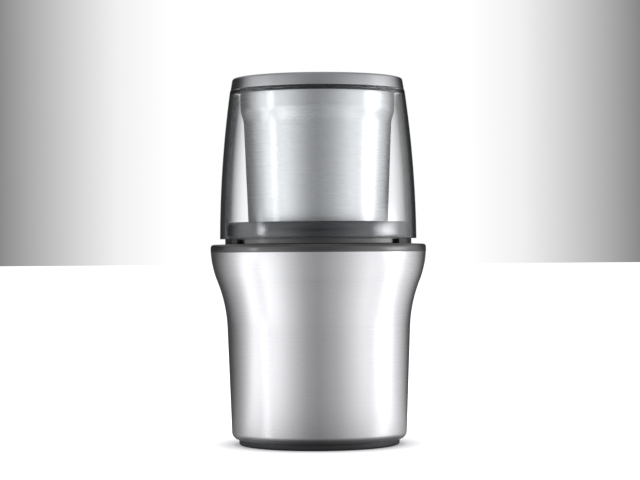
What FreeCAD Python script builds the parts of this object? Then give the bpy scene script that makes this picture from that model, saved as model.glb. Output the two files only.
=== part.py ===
import FreeCAD, Part

# Electric spice grinder: a round motor base, a removable steel bowl with its blade, and a clear lid
# under a steel cap. Pressing the lid works the switch. Millimetres, +Z up, the table at zero height,
# the axis of the motor on Z and the front facing -Y.

import os
import re

import Sketcher

Vector = FreeCAD.Vector

GROUPS = {
    "foot and shell": {
        "foot_width": 3.4,
        "foot_height": 3.4,
        "foot_edge_round": 1.0,
        "hem_height": 3.2,
        "hem_width": 3.6,
        "hem_gap": 0.5,
        "shell_wall": 0.8,
        "shell_height": 104.5,
        "shell_base_radius": 49.1,
        "shell_base_round": 4.4,
        "shell_waist_radius": 51.3,
        "shell_waist_height": 62.8,
        "shell_flare_height": 89.9,
        "flare_step": 3.0,
        "flare_hollow": 1.25,
        "flare_swell": 0.55,
    },
    "top deck": {
        "rim_width": 5.2,
        "rim_height": 4.5,
        "rim_overhang": 0.1,
        "rim_round": 2.0,
        "deck_plate": 2.2,
        "neck_radius": 52.3,
        "neck_height": 3.6,
        "neck_wall": 2.3,
        "well_depth": 12.8,
        "well_floor": 2.2,
        "well_hole_radius": 7.0,
        "skirt_depth": 5.7,
        "skirt_wall": 2.0,
        "skirt_gap": 1.4,
        "key_count": 4,
        "key_width": 3.0,
        "key_length": 7.0,
        "key_height": 4.5,
        "key_gap": 0.4,
        "boss_radius": 3.5,
        "deck_screw_count": 4,
    },
    "running gaps between pieces": {
        "seat_gap": 0.3,
        "press_fit_gap": 0.05,
        "running_gap": 0.04,
        "ledge_gap": 0.4,
        "loose_gap": 0.5,
        "cut_overrun": 1.0,
        "join_overlap": 1.0,
    },
    "lid and cap": {
        "lid_rest_gap": 0.4,
        "lid_height": 83.2,
        "lid_mouth_gap": 0.6,
        "lid_swell": 1.4,
        "lid_wall": 2.3,
        "lid_ledge": 1.3,
        "lid_ledge_width": 4.3,
        "lid_shoulder": 1.6,
        "lid_shoulder_run": 0.12,
        "cap_height": 6.7,
        "cap_inset": 0.3,
        "cap_taper": 1.1,
        "cap_wall": 0.8,
        "cap_round": 1.2,
        "liner_plate": 1.4,
        "liner_wall": 0.8,
        "press_travel": 2.5,
    },
    "seal under the lid": {
        "seal_flange": 1.4,
        "seal_step": 0.8,
        "seal_edge": 0.3,
        "gasket_thickness": 1.2,
        "gasket_gap": 0.4,
        "gasket_overhang": 0.9,
        "spigot_wall": 2.0,
        "spigot_depth": 5.0,
        "spigot_gap": 0.8,
        "lid_spring_circle": 30.0,
        "lid_spring_count": 3,
        "lid_spring_radius": 3.0,
        "lid_spring_wire": 0.5,
        "lid_spring_seat": 1.4,
    },
    "bowl": {
        "bowl_wall": 0.9,
        "bowl_rim_radius": 43.2,
        "bowl_rim_band": 10.3,
        "bowl_shoulder_radius": 41.5,
        "bowl_shoulder_drop": 4.7,
        "bowl_base_radius": 39.0,
        "bowl_base_round": 3.0,
        "bowl_stud_radius": 2.0,
        "bowl_stud_circle": 24.0,
        "bowl_stud_count": 3,
        "bowl_stud_length": 7.0,
        "stud_nut_width": 7.0,
        "stud_nut_height": 3.2,
        "collar_inset": 1.1,
        "collar_height": 8.3,
        "collar_round": 1.5,
        "collar_top": 2.2,
        "collar_seat_wall": 2.0,
        "collar_seat_depth": 4.9,
        "collar_seat_flare": 0.2,
        "collar_floor": 2.2,
        "collar_boss_radius": 8.0,
        "collar_boss_length": 6.0,
        "bowl_skirt_gap": 0.5,
        "bowl_skirt_wall": 2.0,
        "bowl_floor_gap": 0.4,
    },
    "blade": {
        "blade_shaft_radius": 3.0,
        "bush_radius": 5.0,
        "bush_stand": 1.2,
        "blade_seal_radius": 6.5,
        "blade_seal_height": 1.4,
        "blade_rise": 0.5,
        "blade_hub_radius": 5.5,
        "blade_thickness": 1.6,
        "blade_span": 33.0,
        "blade_width": 10.0,
        "blade_tip_width": 6.0,
        "blade_lift": 5.0,
        "blade_root": 1.5,
        "blade_bend": 1.5,
        "blade_bend_top": 1.0,
        "blade_nut_width": 10.0,
        "blade_nut_height": 4.0,
        "blade_dome_height": 2.6,
        "blade_washer": 0.8,
    },
    "drive between motor and blade": {
        "drive_radius": 10.5,
        "drive_floor": 2.0,
        "drive_rise": 1.1,
        "drive_top_gap": 1.15,
        "driven_root_radius": 5.2,
        "driven_tooth_radius": 7.2,
        "driven_tooth_width": 2.2,
        "driven_tooth_count": 6,
        "driven_floor_gap": 0.45,
        "tooth_gap": 0.4,
    },
    "motor": {
        "shaft_radius": 4.0,
        "shaft_tail": 1.0,
        "deck_motor_gap": 2.3,
        "bearing_radius": 8.0,
        "upper_bearing_height": 6.5,
        "lower_bearing_height": 7.5,
        "bearing_wall": 3.0,
        "bracket_plate": 2.5,
        "bracket_half_width": 31.0,
        "bracket_corner_cut": 9.0,
        "window_width": 12.5,
        "window_margin": 2.0,
        "window_edge": 4.0,
        "fan_radius": 25.0,
        "fan_height": 5.0,
        "fan_plate": 1.2,
        "fan_hub_radius": 8.0,
        "fan_blade": 1.4,
        "fan_blade_count": 9,
        "fan_gap": 1.5,
        "armature_radius": 20.0,
        "armature_slot_count": 12,
        "armature_slot_width": 3.0,
        "armature_slot_depth": 6.0,
        "core_length": 28.0,
        "winding_radius": 17.0,
        "winding_overhang": 6.0,
        "winding_round": 2.0,
        "commutator_radius": 10.0,
        "commutator_length": 11.0,
        "commutator_gap": 1.0,
        "commutator_riser": 1.6,
        "brush_end_gap": 3.5,
        "air_gap": 0.6,
        "field_half_width": 30.0,
        "field_corner_cut": 8.0,
        "coil_width": 7.0,
        "coil_offset": 19.0,
        "coil_half_span": 19.0,
        "coil_overhang": 7.0,
        "coil_gap": 0.3,
        "bolt_radius": 2.0,
        "bolt_place": 24.5,
        "bolt_head_radius": 3.6,
        "bolt_head_height": 2.0,
        "bolt_end": 1.0,
        "brush_width": 5.0,
        "brush_height": 8.0,
        "brush_length": 11.0,
        "brush_spring_radius": 2.0,
        "holder_wall": 1.6,
        "holder_length": 19.0,
        "holder_gap": 0.6,
        "brush_gap": 0.1,
        "mount_radius": 6.0,
        "mount_height": 6.0,
    },
    "inner housing and base": {
        "housing_gap": 0.3,
        "housing_wall": 2.0,
        "flange_gap": 0.86,
        "flange_land": 1.5,
        "flange_thickness": 2.5,
        "flange_drop": 9.8,
        "shelf_thickness": 3.0,
        "shelf_bore_radius": 28.0,
        "post_foot_radius": 3.6,
        "base_screw_margin": 1.0,
        "base_screw_count": 4,
        "screw_radius": 1.5,
        "screw_head_radius": 2.8,
        "screw_head_height": 2.0,
        "screw_length": 11.0,
        "base_wall": 2.7,
        "base_plate_height": 8.0,
        "base_plate_thickness": 2.5,
        "base_flange_gap": 0.9,
        "base_flange_thickness": 1.5,
        "vent_count": 12,
        "vent_angle": 15.0,
        "vent_width": 3.0,
        "vent_inner_radius": 14.0,
        "vent_outer_radius": 30.0,
    },
    "press ring and switch": {
        "post_angle": 56.6,
        "post_width": 5.5,
        "post_thickness": 2.2,
        "post_inset": 0.2,
        "post_gap": 0.4,
        "ring_inner_margin": 2.5,
        "ring_outer_margin": 1.1,
        "ring_height": 3.0,
        "ring_drop": 1.8,
        "press_spring_radius": 1.8,
        "press_spring_wire": 0.5,
        "press_spring_edge": 0.2,
        "press_spring_count": 4,
        "switch_inset": 7.2,
        "finger_width": 8.0,
        "finger_thickness": 3.5,
        "finger_length": 12.5,
        "switch_length": 20.0,
        "switch_thickness": 6.4,
        "switch_height": 10.0,
        "lever_gap": 0.4,
        "lever_side_gap": 0.2,
        "lever_thickness": 0.5,
        "lever_width": 4.0,
        "lever_slope": 21.0,
        "lever_pivot_inset": 2.0,
        "lever_pivot_rise": 1.2,
        "lever_pivot_radius": 0.7,
        "lever_ear_wall": 0.8,
        "lever_reach": 16.5,
        "plunger_place": 8.0,
        "plunger_radius": 1.1,
        "plunger_stroke": 1.2,
        "terminal_width": 4.8,
        "terminal_thickness": 0.8,
        "terminal_length": 6.0,
    },
    "mains inlet": {
        "cord_height": 27.0,
        "cord_radius": 3.5,
        "gland_radius": 5.2,
        "gland_flange_radius": 7.2,
        "gland_flange": 1.6,
        "gland_nut_radius": 6.8,
        "gland_nut_height": 2.4,
        "gland_nut_gap": 0.6,
        "clamp_inset": 8.5,
        "clamp_half_width": 10.0,
        "clamp_depth": 6.0,
        "clamp_wall": 3.0,
        "block_width": 24.0,
        "block_depth": 12.0,
        "block_height": 7.0,
        "block_place": 17.0,
        "block_screw_radius": 2.2,
        "fuse_radius": 2.2,
        "fuse_length": 14.0,
    },
}

# What follows from the sizes above.
WORKED = {
    "shell_top": "hem_height + shell_height",
    "hem_radius": "shell_base_radius - hem_width",
    "foot_radius": "hem_radius - hem_gap",
    "shell_base_top": "hem_height + shell_base_round",
    "shell_waist": "hem_height + shell_waist_height",
    "shell_flare": "hem_height + shell_flare_height",
    "shell_top_radius": "lid_mouth_radius + rim_width",
    "shell_flare_radius": "shell_top_radius - flare_step",
    "deck_top": "shell_top + rim_height",
    "neck_top": "deck_top + neck_height",
    "neck_inner_radius": "neck_radius - neck_wall",
    "well_top": "neck_top - well_depth",
    "well_bottom": "well_top - well_floor",
    "skirt_radius": "shell_top_radius - shell_wall - skirt_gap",
    "boss_circle": "housing_inner_radius - boss_radius",
    "lid_mouth_radius": "neck_radius + lid_mouth_gap + lid_wall",
    "lid_bottom": "deck_top + press_travel + lid_rest_gap",
    "lid_top": "lid_bottom + lid_height",
    "lid_ledge_bottom": "lid_top - lid_ledge",
    "lid_ledge_radius": "seal_radius + ledge_gap",
    "lid_top_radius": "lid_ledge_radius + lid_ledge_width",
    "cap_radius": "lid_top_radius - cap_inset",
    "liner_radius": "cap_radius - cap_taper - cap_wall - press_fit_gap",
    "seal_flange_radius": "liner_radius - liner_wall - seat_gap",
    "cap_top": "lid_top + cap_height",
    "liner_top": "cap_top - cap_wall",
    "liner_bottom": "liner_top - liner_plate",
    "seal_flange_bottom": "lid_top + seat_gap",
    "seal_flange_top": "seal_flange_bottom + seal_flange",
    "seal_bottom": "seal_flange_bottom - seal_step",
    "gasket_bottom": "seal_bottom - gasket_thickness",
    "bowl_rim": "gasket_bottom - seat_gap",
    "spigot_radius": "bowl_rim_radius - bowl_wall - spigot_gap",
    "gasket_inner_radius": "spigot_radius + gasket_gap",
    "gasket_outer_radius": "bowl_rim_radius + gasket_overhang",
    "seal_radius": "gasket_outer_radius + seal_edge",
    "collar_radius": "neck_radius - collar_inset",
    "collar_bottom": "neck_top + seat_gap",
    "collar_crown": "collar_bottom + collar_height",
    "bowl_floor": "collar_crown - collar_seat_depth",
    "bowl_inside": "bowl_floor + bowl_wall",
    "collar_floor_bottom": "bowl_floor - press_fit_gap - collar_floor",
    "collar_boss_bottom": "collar_floor_bottom - collar_boss_length",
    "bowl_skirt_radius": "neck_inner_radius - bowl_skirt_gap",
    "bowl_skirt_bottom": "well_top + bowl_floor_gap",
    "bush_top": "bowl_inside + bush_stand",
    "blade_seal_top": "bush_top + blade_seal_height",
    "blade_bottom": "blade_seal_top + blade_rise",
    "blade_top": "blade_bottom + blade_thickness",
    "drive_bottom": "well_top + drive_rise",
    "socket_bottom": "drive_bottom + drive_floor",
    "drive_top": "collar_boss_bottom - drive_top_gap",
    "driven_top": "collar_boss_bottom - seat_gap",
    "driven_bottom": "socket_bottom + driven_floor_gap",
    "upper_bearing_top": "well_bottom - deck_motor_gap",
    "upper_bracket_bottom": "upper_bearing_top - upper_bearing_height",
    "fan_top": "upper_bracket_bottom - fan_gap",
    "fan_bottom": "fan_top - fan_height",
    "winding_top": "fan_bottom - fan_gap",
    "core_top": "winding_top - winding_overhang",
    "core_bottom": "core_top - core_length",
    "winding_bottom": "core_bottom - winding_overhang",
    "commutator_top": "winding_bottom - commutator_gap",
    "commutator_bottom": "commutator_top - commutator_length",
    "lower_bracket_top": "commutator_bottom - brush_end_gap",
    "lower_bracket_bottom": "lower_bracket_top - bracket_plate",
    "lower_bearing_bottom": "lower_bracket_top - lower_bearing_height",
    "shaft_bottom": "lower_bearing_bottom - shaft_tail",
    "brush_middle": "(commutator_top - commutator_riser + commutator_bottom) / 2",
    "holder_half_width": "brush_width / 2 + holder_wall + brush_gap",
    "holder_top": "brush_middle + brush_height / 2 + holder_wall + brush_gap",
    "holder_start": "commutator_radius + commutator_riser + holder_gap",
    "holder_end": "holder_start + holder_length",
    "brush_start": "commutator_radius + seat_gap",
    "brush_end": "brush_start + brush_length",
    "shelf_top": "lower_bracket_bottom - mount_height",
    "shelf_bottom": "shelf_top - shelf_thickness",
    "flange_top": "well_bottom - flange_drop",
    "flange_bottom": "flange_top - flange_thickness",
    "flange_share": "(flange_bottom - shell_waist) / (shell_flare - shell_waist)",
    "flange_radius": "shell_waist_radius + flange_share * (shell_flare_radius - shell_waist_radius)"
                     " - 4 * flare_hollow * flange_share * (1 - flange_share)"
                     " - shell_wall - flange_gap",
    "flange_bore_radius": "boss_circle - boss_radius - flange_land",
    "housing_radius": "shell_base_radius - shell_wall - housing_gap",
    "housing_inner_radius": "housing_radius - housing_wall",
    "base_flange_radius": "shell_base_radius - shell_wall - base_flange_gap",
    "base_screw_circle": "foot_radius - base_wall - screw_head_radius - base_screw_margin",
    "base_plate_top": "base_plate_height + base_plate_thickness",
    "housing_bottom": "base_plate_height",
    "post_outer_radius": "lid_mouth_radius - post_inset",
    "post_inner_radius": "post_outer_radius - post_thickness",
    "post_top": "lid_bottom - seat_gap",
    "ring_inner_radius": "post_inner_radius - ring_inner_margin",
    "ring_outer_radius": "post_outer_radius + ring_outer_margin",
    "press_spring_circle": "flange_radius - press_spring_radius - press_spring_edge",
    "finger_place": "housing_inner_radius - switch_inset",
    "ring_top": "well_bottom - ring_drop",
    "ring_bottom": "ring_top - ring_height",
    "finger_bottom": "ring_bottom - finger_length",
    "lever_tip_height": "finger_bottom - lever_gap - lever_thickness / 2",
    "lever_run": "lever_reach * cos(lever_slope)",
    "lever_pivot_height": "lever_tip_height - lever_reach * sin(lever_slope)",
    "switch_top": "lever_pivot_height - lever_pivot_rise",
    "switch_bottom": "switch_top - switch_height",
    "lever_pivot_across": "lever_pivot_inset - switch_length / 2",
    "finger_right": "lever_pivot_across + lever_run",
    "finger_left": "finger_right - finger_width",
    "plunger_across": "lever_pivot_across + plunger_place",
    "plunger_top": "lever_pivot_height + (plunger_place - plunger_radius) * tan(lever_slope)"
                   " - lever_thickness / 2 / cos(lever_slope) - seat_gap",
    "cord_wall": "shell_base_radius"
                 " + (cord_height + gland_flange_radius - shell_base_top) / (shell_waist - shell_base_top)"
                 " * (shell_waist_radius - shell_base_radius) + press_fit_gap",
    "clamp_top": "cord_height + cord_radius + clamp_wall",
    "clamp_place": "housing_inner_radius - clamp_inset",
    "gland_nut_end": "housing_inner_radius - gland_nut_gap",
    "gland_nut_start": "gland_nut_end - gland_nut_height",
}

SIZES = {name: size for sizes in GROUPS.values() for name, size in sizes.items()}

FRONT = "270"
BACK = "90"

doc = FreeCAD.newDocument("spice_grinder")
sheet = doc.addObject("Spreadsheet::Sheet", "Sizes")
pieces = []
cuts = []


def fill_sheet():
    """One row for each size, under the heading of its group."""
    row = 0
    for heading, sizes in GROUPS.items():
        row += 1
        sheet.set(f"A{row}", heading)
        for name, size in sizes.items():
            row += 1
            sheet.set(f"A{row}", name)
            sheet.set(f"B{row}", str(size))
            sheet.setAlias(f"B{row}", name)
    doc.recompute()


def formula(text):
    """The text with each size pointed at its cell and each worked-out value written out."""
    def swap(match):
        word = match.group(0)
        if word in SIZES:
            return f"Sizes.{word}"
        if word in WORKED:
            return f"({formula(WORKED[word])})"
        return word
    return re.sub(r"[a-z][a-z_0-9]*", swap, str(text))


def value(text):
    """The number that a formula comes to."""
    result = sheet.evalExpression(formula(text))
    return float(getattr(result, "Value", result))


def bind(thing, prop, text):
    """Ties a property to a formula."""
    thing.setExpression(prop, formula(text))


def constrain(sketch, kind, text, *spots):
    """A sketch dimension tied to a formula."""
    index = sketch.addConstraint(Sketcher.Constraint(kind, *spots, value(text)))
    bind(sketch, f"Constraints[{index}]", text)


def pin(sketch, edge, end, across, up):
    """Holds one point of an edge at its place from the sketch's origin."""
    constrain(sketch, "DistanceX", across, -1, 1, edge, end)
    constrain(sketch, "DistanceY", up, -1, 1, edge, end)


def piece(name):
    """A new body, which becomes one sub-part."""
    body = doc.addObject("PartDesign::Body", name)
    body.Label = name
    body.Placement = FreeCAD.Placement()
    pieces.append(body)
    return body


def origin_of(body, role):
    """One of the body's own base planes or axes."""
    return next(part for part in body.Origin.OriginFeatures if part.Role == role)


def draw(body, name, plane="XZ_Plane", height="0"):
    """An empty sketch on a base plane, moved along its normal by a height."""
    sketch = body.newObject("Sketcher::SketchObject", name)
    sketch.AttachmentSupport = [(origin_of(body, plane), "")]
    sketch.MapMode = "FlatFace"
    bind(sketch, "AttachmentOffset.Base.z", height)
    return sketch


def outline(sketch, points):
    """A closed outline; a point with a third entry is one that an arc passes through."""
    loop = points + points[:1]
    edges = []
    place = 0
    while place < len(points):
        arc = len(loop[place + 1]) == 3
        run = loop[place:place + (3 if arc else 2)]
        spots = [Vector(value(point[0]), value(point[1]), 0) for point in run]
        if arc:
            edge = sketch.addGeometry(Part.Arc(*spots))
            first = 1 if sketch.getPoint(edge, 1).distanceToPoint(spots[0]) < 1e-6 else 2
            via = sketch.addGeometry(Part.Point(spots[1]), True)
            pin(sketch, via, 1, run[1][0], run[1][1])
            sketch.addConstraint(Sketcher.Constraint("PointOnObject", via, 1, edge))
        else:
            edge = sketch.addGeometry(Part.LineSegment(*spots))
            first = 1
        pin(sketch, edge, first, run[0][0], run[0][1])
        edges.append((edge, first, 3 - first))
        place += len(run) - 1
    for before, after in zip(edges, edges[1:] + edges[:1]):
        sketch.addConstraint(Sketcher.Constraint("Coincident", before[0], before[2], after[0], after[1]))
    return sketch


def circles(sketch, places, radius):
    """Circles of one radius at each place."""
    for across, up in places:
        circle = sketch.addGeometry(
            Part.Circle(Vector(value(across), value(up), 0), Vector(0, 0, 1), value(radius)))
        pin(sketch, circle, 3, across, up)
        constrain(sketch, "Radius", radius, circle)
    return sketch


def box(left, right, low, high):
    """The corners of a rectangle."""
    return [(left, low), (right, low), (right, high), (left, high)]


def bend(across, up, size, arrive, leave):
    """A rounded corner: the directions are those in which the outline arrives and leaves."""
    ways = {"up": (0, 1), "down": (0, -1), "left": (-1, 0), "right": (1, 0)}
    (ax, ay), (lx, ly) = ways[arrive], ways[leave]
    bow = 1 - 0.5 ** 0.5
    return [
        (f"{across} - {ax} * {size}", f"{up} - {ay} * {size}"),
        (f"{across} + {(lx - ax) * bow} * {size}", f"{up} + {(ly - ay) * bow} * {size}", "via"),
        (f"{across} + {lx} * {size}", f"{up} + {ly} * {size}"),
    ]


def sector(inner, outer, angle, half):
    """A piece of a ring about the axis, half a span each side of an angle."""
    def spot(radius, turned, *via):
        return (f"({radius}) * cos({turned})", f"({radius}) * sin({turned})", *via)
    return [
        spot(inner, f"{angle} - {half}"),
        spot(outer, f"{angle} - {half}"),
        spot(outer, angle, "via"),
        spot(outer, f"{angle} + {half}"),
        spot(inner, f"{angle} + {half}"),
        spot(inner, angle, "via"),
    ]


def bar(inner, outer, width, angle):
    """A straight-sided bar that points away from the axis at an angle."""
    def spot(along, side):
        return (f"({along}) * cos({angle}) - ({side}) * ({width}) / 2 * sin({angle})",
                f"({along}) * sin({angle}) + ({side}) * ({width}) / 2 * cos({angle})")
    return [spot(inner, -1), spot(outer, -1), spot(outer, 1), spot(inner, 1)]


def around(circle, count, first="0"):
    """Places evenly spaced on a circle about the axis."""
    number = round(value(count))
    angles = [f"{first} + {360 / number * turn}" for turn in range(number)]
    return [(f"{circle} * cos({angle})", f"{circle} * sin({angle})") for angle in angles]


def corners_of(half):
    """The four corners of a square about the axis."""
    return [(f"{sx} * {half}", f"{sy} * {half}") for sx, sy in ((1, 1), (-1, 1), (-1, -1), (1, -1))]


def cut_square(half, cut):
    """A square about the axis with its corners cut off."""
    inner = f"({half} - {cut})"
    return [
        (half, f"-{inner}"), (half, inner), (inner, half), (f"-{inner}", half),
        (f"-{half}", inner), (f"-{half}", f"-{inner}"), (f"-{inner}", f"-{half}"), (inner, f"-{half}"),
    ]


def hexagon(width):
    """A hexagon about the axis, given across its flats."""
    return [(f"{width} / sqrt(3) * cos({60 * turn})", f"{width} / sqrt(3) * sin({60 * turn})")
            for turn in range(6)]


def shifted(points, across, up):
    """An outline moved to another place."""
    return [(f"{point[0]} + {across}", f"{point[1]} + {up}", *point[2:]) for point in points]


def add_feature(body, kind, name, sketch):
    """A PartDesign feature made from a sketch."""
    feature = body.newObject(f"PartDesign::{kind}", name)
    feature.Profile = sketch
    if kind in ("Pocket", "Groove"):
        cuts.append(feature)
    return feature


def turn(body, sketch, name="turned", kind="Revolution"):
    """The sketch turned once round the axis."""
    feature = add_feature(body, kind, name, sketch)
    feature.ReferenceAxis = (sketch, ["V_Axis"])
    feature.Angle = 360
    return feature


def pad(body, sketch, name, length, both=False):
    """The sketch raised along its normal, or half of it each way."""
    feature = add_feature(body, "Pad", name, sketch)
    bind(feature, "Length", length)
    feature.Midplane = both
    return feature


def pocket(body, sketch, name, depth, upward=True):
    """A cut as deep as depth, from the sketch's plane upward or downward."""
    feature = add_feature(body, "Pocket", name, sketch)
    bind(feature, "Length", depth)
    feature.Reversed = upward
    return feature


def bore(body, sketch, name):
    """A cut that goes right through on both sides of the sketch."""
    feature = add_feature(body, "Pocket", name, sketch)
    feature.Type = "ThroughAll"
    feature.Midplane = True
    return feature


def repeat(body, feature, name, count):
    """The feature repeated evenly round the axis."""
    pattern = body.newObject("PartDesign::PolarPattern", name)
    pattern.Originals = [feature]
    pattern.Axis = (origin_of(body, "Z_Axis"), [""])
    pattern.Angle = 360
    bind(pattern, "Occurrences", count)
    body.Tip = pattern
    return pattern


def turned_piece(name, points):
    """A sub-part that is one outline turned round the axis."""
    body = piece(name)
    turn(body, outline(draw(body, f"{name}_section"), points))
    return body


def rods(body, name, places, radius, bottom, length):
    """Upright round rods at each place."""
    return pad(body, circles(draw(body, f"{name}_plan", "XY_Plane", bottom), places, radius), name, length)


def screws(name, places, bottom, length, shank, head, head_height, head_below):
    """Upright screws: shanks from bottom, with their heads below or above."""
    body = piece(name)
    rods(body, f"{name}_shanks", places, shank, bottom, length)
    start = f"{bottom} - {head_height}" if head_below else f"{bottom} + {length}"
    rods(body, f"{name}_heads", places, head, start, head_height)
    return body


def sleeves(name, places, outer, wire, bottom, length):
    """Hidden coil springs, each a plain tube of the coil's own size."""
    body = piece(name)
    rods(body, f"{name}_outsides", places, outer, bottom, length)
    inside = circles(draw(body, f"{name}_insides", "XY_Plane", bottom), places, f"{outer} - {wire}")
    bore(body, inside, f"{name}_bores")
    return body


def foot_ring():
    """The rubber ring that stands on the table."""
    inner = "foot_radius - foot_width"
    turned_piece("foot_ring", [
        *bend(f"({inner})", "0", "foot_edge_round", "down", "right"),
        *bend("foot_radius", "0", "foot_edge_round", "right", "up"),
        ("foot_radius", "foot_height"),
        (inner, "foot_height"),
    ])


def base_cup():
    """The plastic bottom, with its screw holes and the slots that let air in."""
    body = piece("base_cup")
    turn(body, outline(draw(body, "base_section"), [
        ("0", "base_plate_height"),
        ("foot_radius - base_wall", "base_plate_height"),
        ("foot_radius - base_wall", "foot_height"),
        ("foot_radius", "foot_height"),
        ("foot_radius", "base_plate_height - base_flange_thickness"),
        ("base_flange_radius", "base_plate_height - base_flange_thickness"),
        ("base_flange_radius", "base_plate_height"),
        ("foot_radius", "base_plate_height"),
        ("foot_radius", "base_plate_top"),
        ("0", "base_plate_top"),
    ]))
    slot = outline(draw(body, "vent_plan", "XY_Plane"),
                   bar("vent_inner_radius", "vent_outer_radius", "vent_width", "vent_angle"))
    repeat(body, bore(body, slot, "vent"), "vents", "vent_count")
    holes = circles(draw(body, "screw_hole_plan", "XY_Plane"),
                    around("base_screw_circle", "base_screw_count", "45"), "screw_radius + press_fit_gap")
    bore(body, holes, "screw_holes")


def outer_shell():
    """The brushed steel skin, open at the top, with its hem rolled in at the bottom."""
    bow = 1 - 0.5 ** 0.5
    body = piece("outer_shell")
    turn(body, outline(draw(body, "shell_section"), [
        ("hem_radius", "hem_height"),
        (f"shell_base_radius - (shell_base_radius - hem_radius) * {bow}",
         f"hem_height + shell_base_round * {bow}", "via"),
        ("shell_base_radius", "shell_base_top"),
        ("shell_waist_radius", "shell_waist"),
        ("(shell_waist_radius + shell_flare_radius) / 2 - flare_hollow",
         "(shell_waist + shell_flare) / 2", "via"),
        ("shell_flare_radius", "shell_flare"),
        ("(shell_flare_radius + shell_top_radius) / 2 + flare_swell",
         "(shell_flare + shell_top) / 2", "via"),
        ("shell_top_radius", "shell_top"),
        ("shell_top_radius - shell_wall", "shell_top"),
        ("(shell_flare_radius + shell_top_radius) / 2 + flare_swell - shell_wall",
         "(shell_flare + shell_top) / 2", "via"),
        ("shell_flare_radius - shell_wall", "shell_flare"),
        ("(shell_waist_radius + shell_flare_radius) / 2 - flare_hollow - shell_wall",
         "(shell_waist + shell_flare) / 2", "via"),
        ("shell_waist_radius - shell_wall", "shell_waist"),
        ("shell_base_radius - shell_wall", "shell_base_top"),
        (f"shell_base_radius - shell_wall - (shell_base_radius - shell_wall - hem_radius) * {bow}",
         f"hem_height + shell_wall + (shell_base_round - shell_wall) * {bow}", "via"),
        ("hem_radius", "hem_height + shell_wall"),
    ]))
    hole = circles(draw(body, "cord_hole_plan", "XZ_Plane"), [("0", "cord_height")],
                   "gland_radius + press_fit_gap")
    pocket(body, hole, "cord_hole", "shell_top_radius", upward=False)


def inner_housing():
    """The plastic frame inside the steel skin, which carries the motor, deck and switch."""
    body = piece("inner_housing")
    turn(body, outline(draw(body, "housing_section"), [
        ("housing_inner_radius", "housing_bottom"),
        ("housing_radius", "housing_bottom"),
        ("housing_radius", "flange_bottom - (flange_radius - housing_radius)"),
        ("flange_radius", "flange_bottom"),
        ("flange_radius", "flange_top"),
        ("flange_bore_radius", "flange_top"),
        ("flange_bore_radius", "flange_bottom"),
        ("housing_inner_radius", "flange_bottom"),
        ("housing_inner_radius", "shelf_top"),
        ("shelf_bore_radius", "shelf_top"),
        ("shelf_bore_radius", "shelf_bottom"),
        ("housing_inner_radius", "shelf_bottom"),
    ]))
    rods(body, "screw_bosses", around("base_screw_circle", "base_screw_count", "45"), "post_foot_radius",
         "base_plate_top", "shelf_bottom - base_plate_top + shelf_thickness / 2")
    switch_rest = box("-switch_length / 2", "switch_length / 2",
                      "finger_place + switch_thickness / 2", "housing_radius - housing_wall / 2")
    pad(body, outline(draw(body, "switch_rest_plan", "XY_Plane", "switch_bottom"), switch_rest),
        "switch_rest", "switch_height")
    hole = circles(draw(body, "cord_hole_plan", "XZ_Plane"), [("0", "cord_height")],
                   "gland_radius + press_fit_gap")
    pocket(body, hole, "cord_hole", "housing_radius + cut_overrun", upward=False)
    pilots = circles(draw(body, "pilot_plan", "XY_Plane", "base_plate_top"),
                     around("base_screw_circle", "base_screw_count", "45"), "screw_radius + press_fit_gap")
    pocket(body, pilots, "pilot_holes", "screw_length - base_plate_thickness + loose_gap")
    deck_holes = circles(draw(body, "deck_hole_plan", "XY_Plane", "flange_bottom"),
                         around("boss_circle", "deck_screw_count", "45"), "screw_radius + press_fit_gap")
    pocket(body, deck_holes, "deck_screw_holes", "flange_thickness")
    passage = outline(draw(body, "finger_slot_plan", "XY_Plane", "flange_bottom"),
                      box("finger_left - loose_gap", "finger_right + loose_gap", "0",
                          "finger_place + finger_thickness / 2 + loose_gap"))
    pocket(body, passage, "finger_slot", "flange_thickness")


def top_deck():
    """The dark ring over the steel skin, with the neck and the well that take the bowl."""
    body = piece("top_deck")
    turn(body, outline(draw(body, "deck_section"), [
        ("well_hole_radius", "well_bottom"),
        ("neck_radius", "well_bottom"),
        ("neck_radius", "deck_top - deck_plate"),
        ("skirt_radius - skirt_wall", "deck_top - deck_plate"),
        ("skirt_radius - skirt_wall", "shell_top - skirt_depth"),
        ("skirt_radius", "shell_top - skirt_depth"),
        ("skirt_radius", "shell_top"),
        ("shell_top_radius", "shell_top"),
        *bend("(shell_top_radius + rim_overhang)", "deck_top", "rim_round", "up", "left"),
        ("neck_radius", "deck_top"),
        ("neck_radius", "neck_top"),
        ("neck_inner_radius", "neck_top"),
        ("neck_inner_radius", "well_top"),
        ("well_hole_radius", "well_top"),
    ]))
    key = outline(draw(body, "key_plan", "XY_Plane", "well_top - well_floor / 2"),
                  bar("bowl_skirt_radius - key_length", "neck_inner_radius + neck_wall / 2",
                      "key_width", "0"))
    repeat(body, pad(body, key, "key", "key_height + well_floor / 2"), "keys", "key_count")
    rods(body, "screw_bosses", around("boss_circle", "deck_screw_count", "45"), "boss_radius",
         "flange_top", "well_bottom - flange_top + well_floor / 2")
    pilots = circles(draw(body, "pilot_plan", "XY_Plane", "flange_top"),
                     around("boss_circle", "deck_screw_count", "45"), "screw_radius + press_fit_gap")
    pocket(body, pilots, "pilot_holes", "screw_length - flange_thickness")
    for number, angle in enumerate(post_angles()):
        half = "(post_width / 2 + post_gap) / post_outer_radius * 180 / pi"
        slot = outline(draw(body, f"post_slot_plan_{number}", "XY_Plane", "deck_top - deck_plate"),
                       sector("neck_radius", "post_outer_radius + post_gap", angle, half))
        pocket(body, slot, f"post_slot_{number}", "deck_plate")


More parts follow.
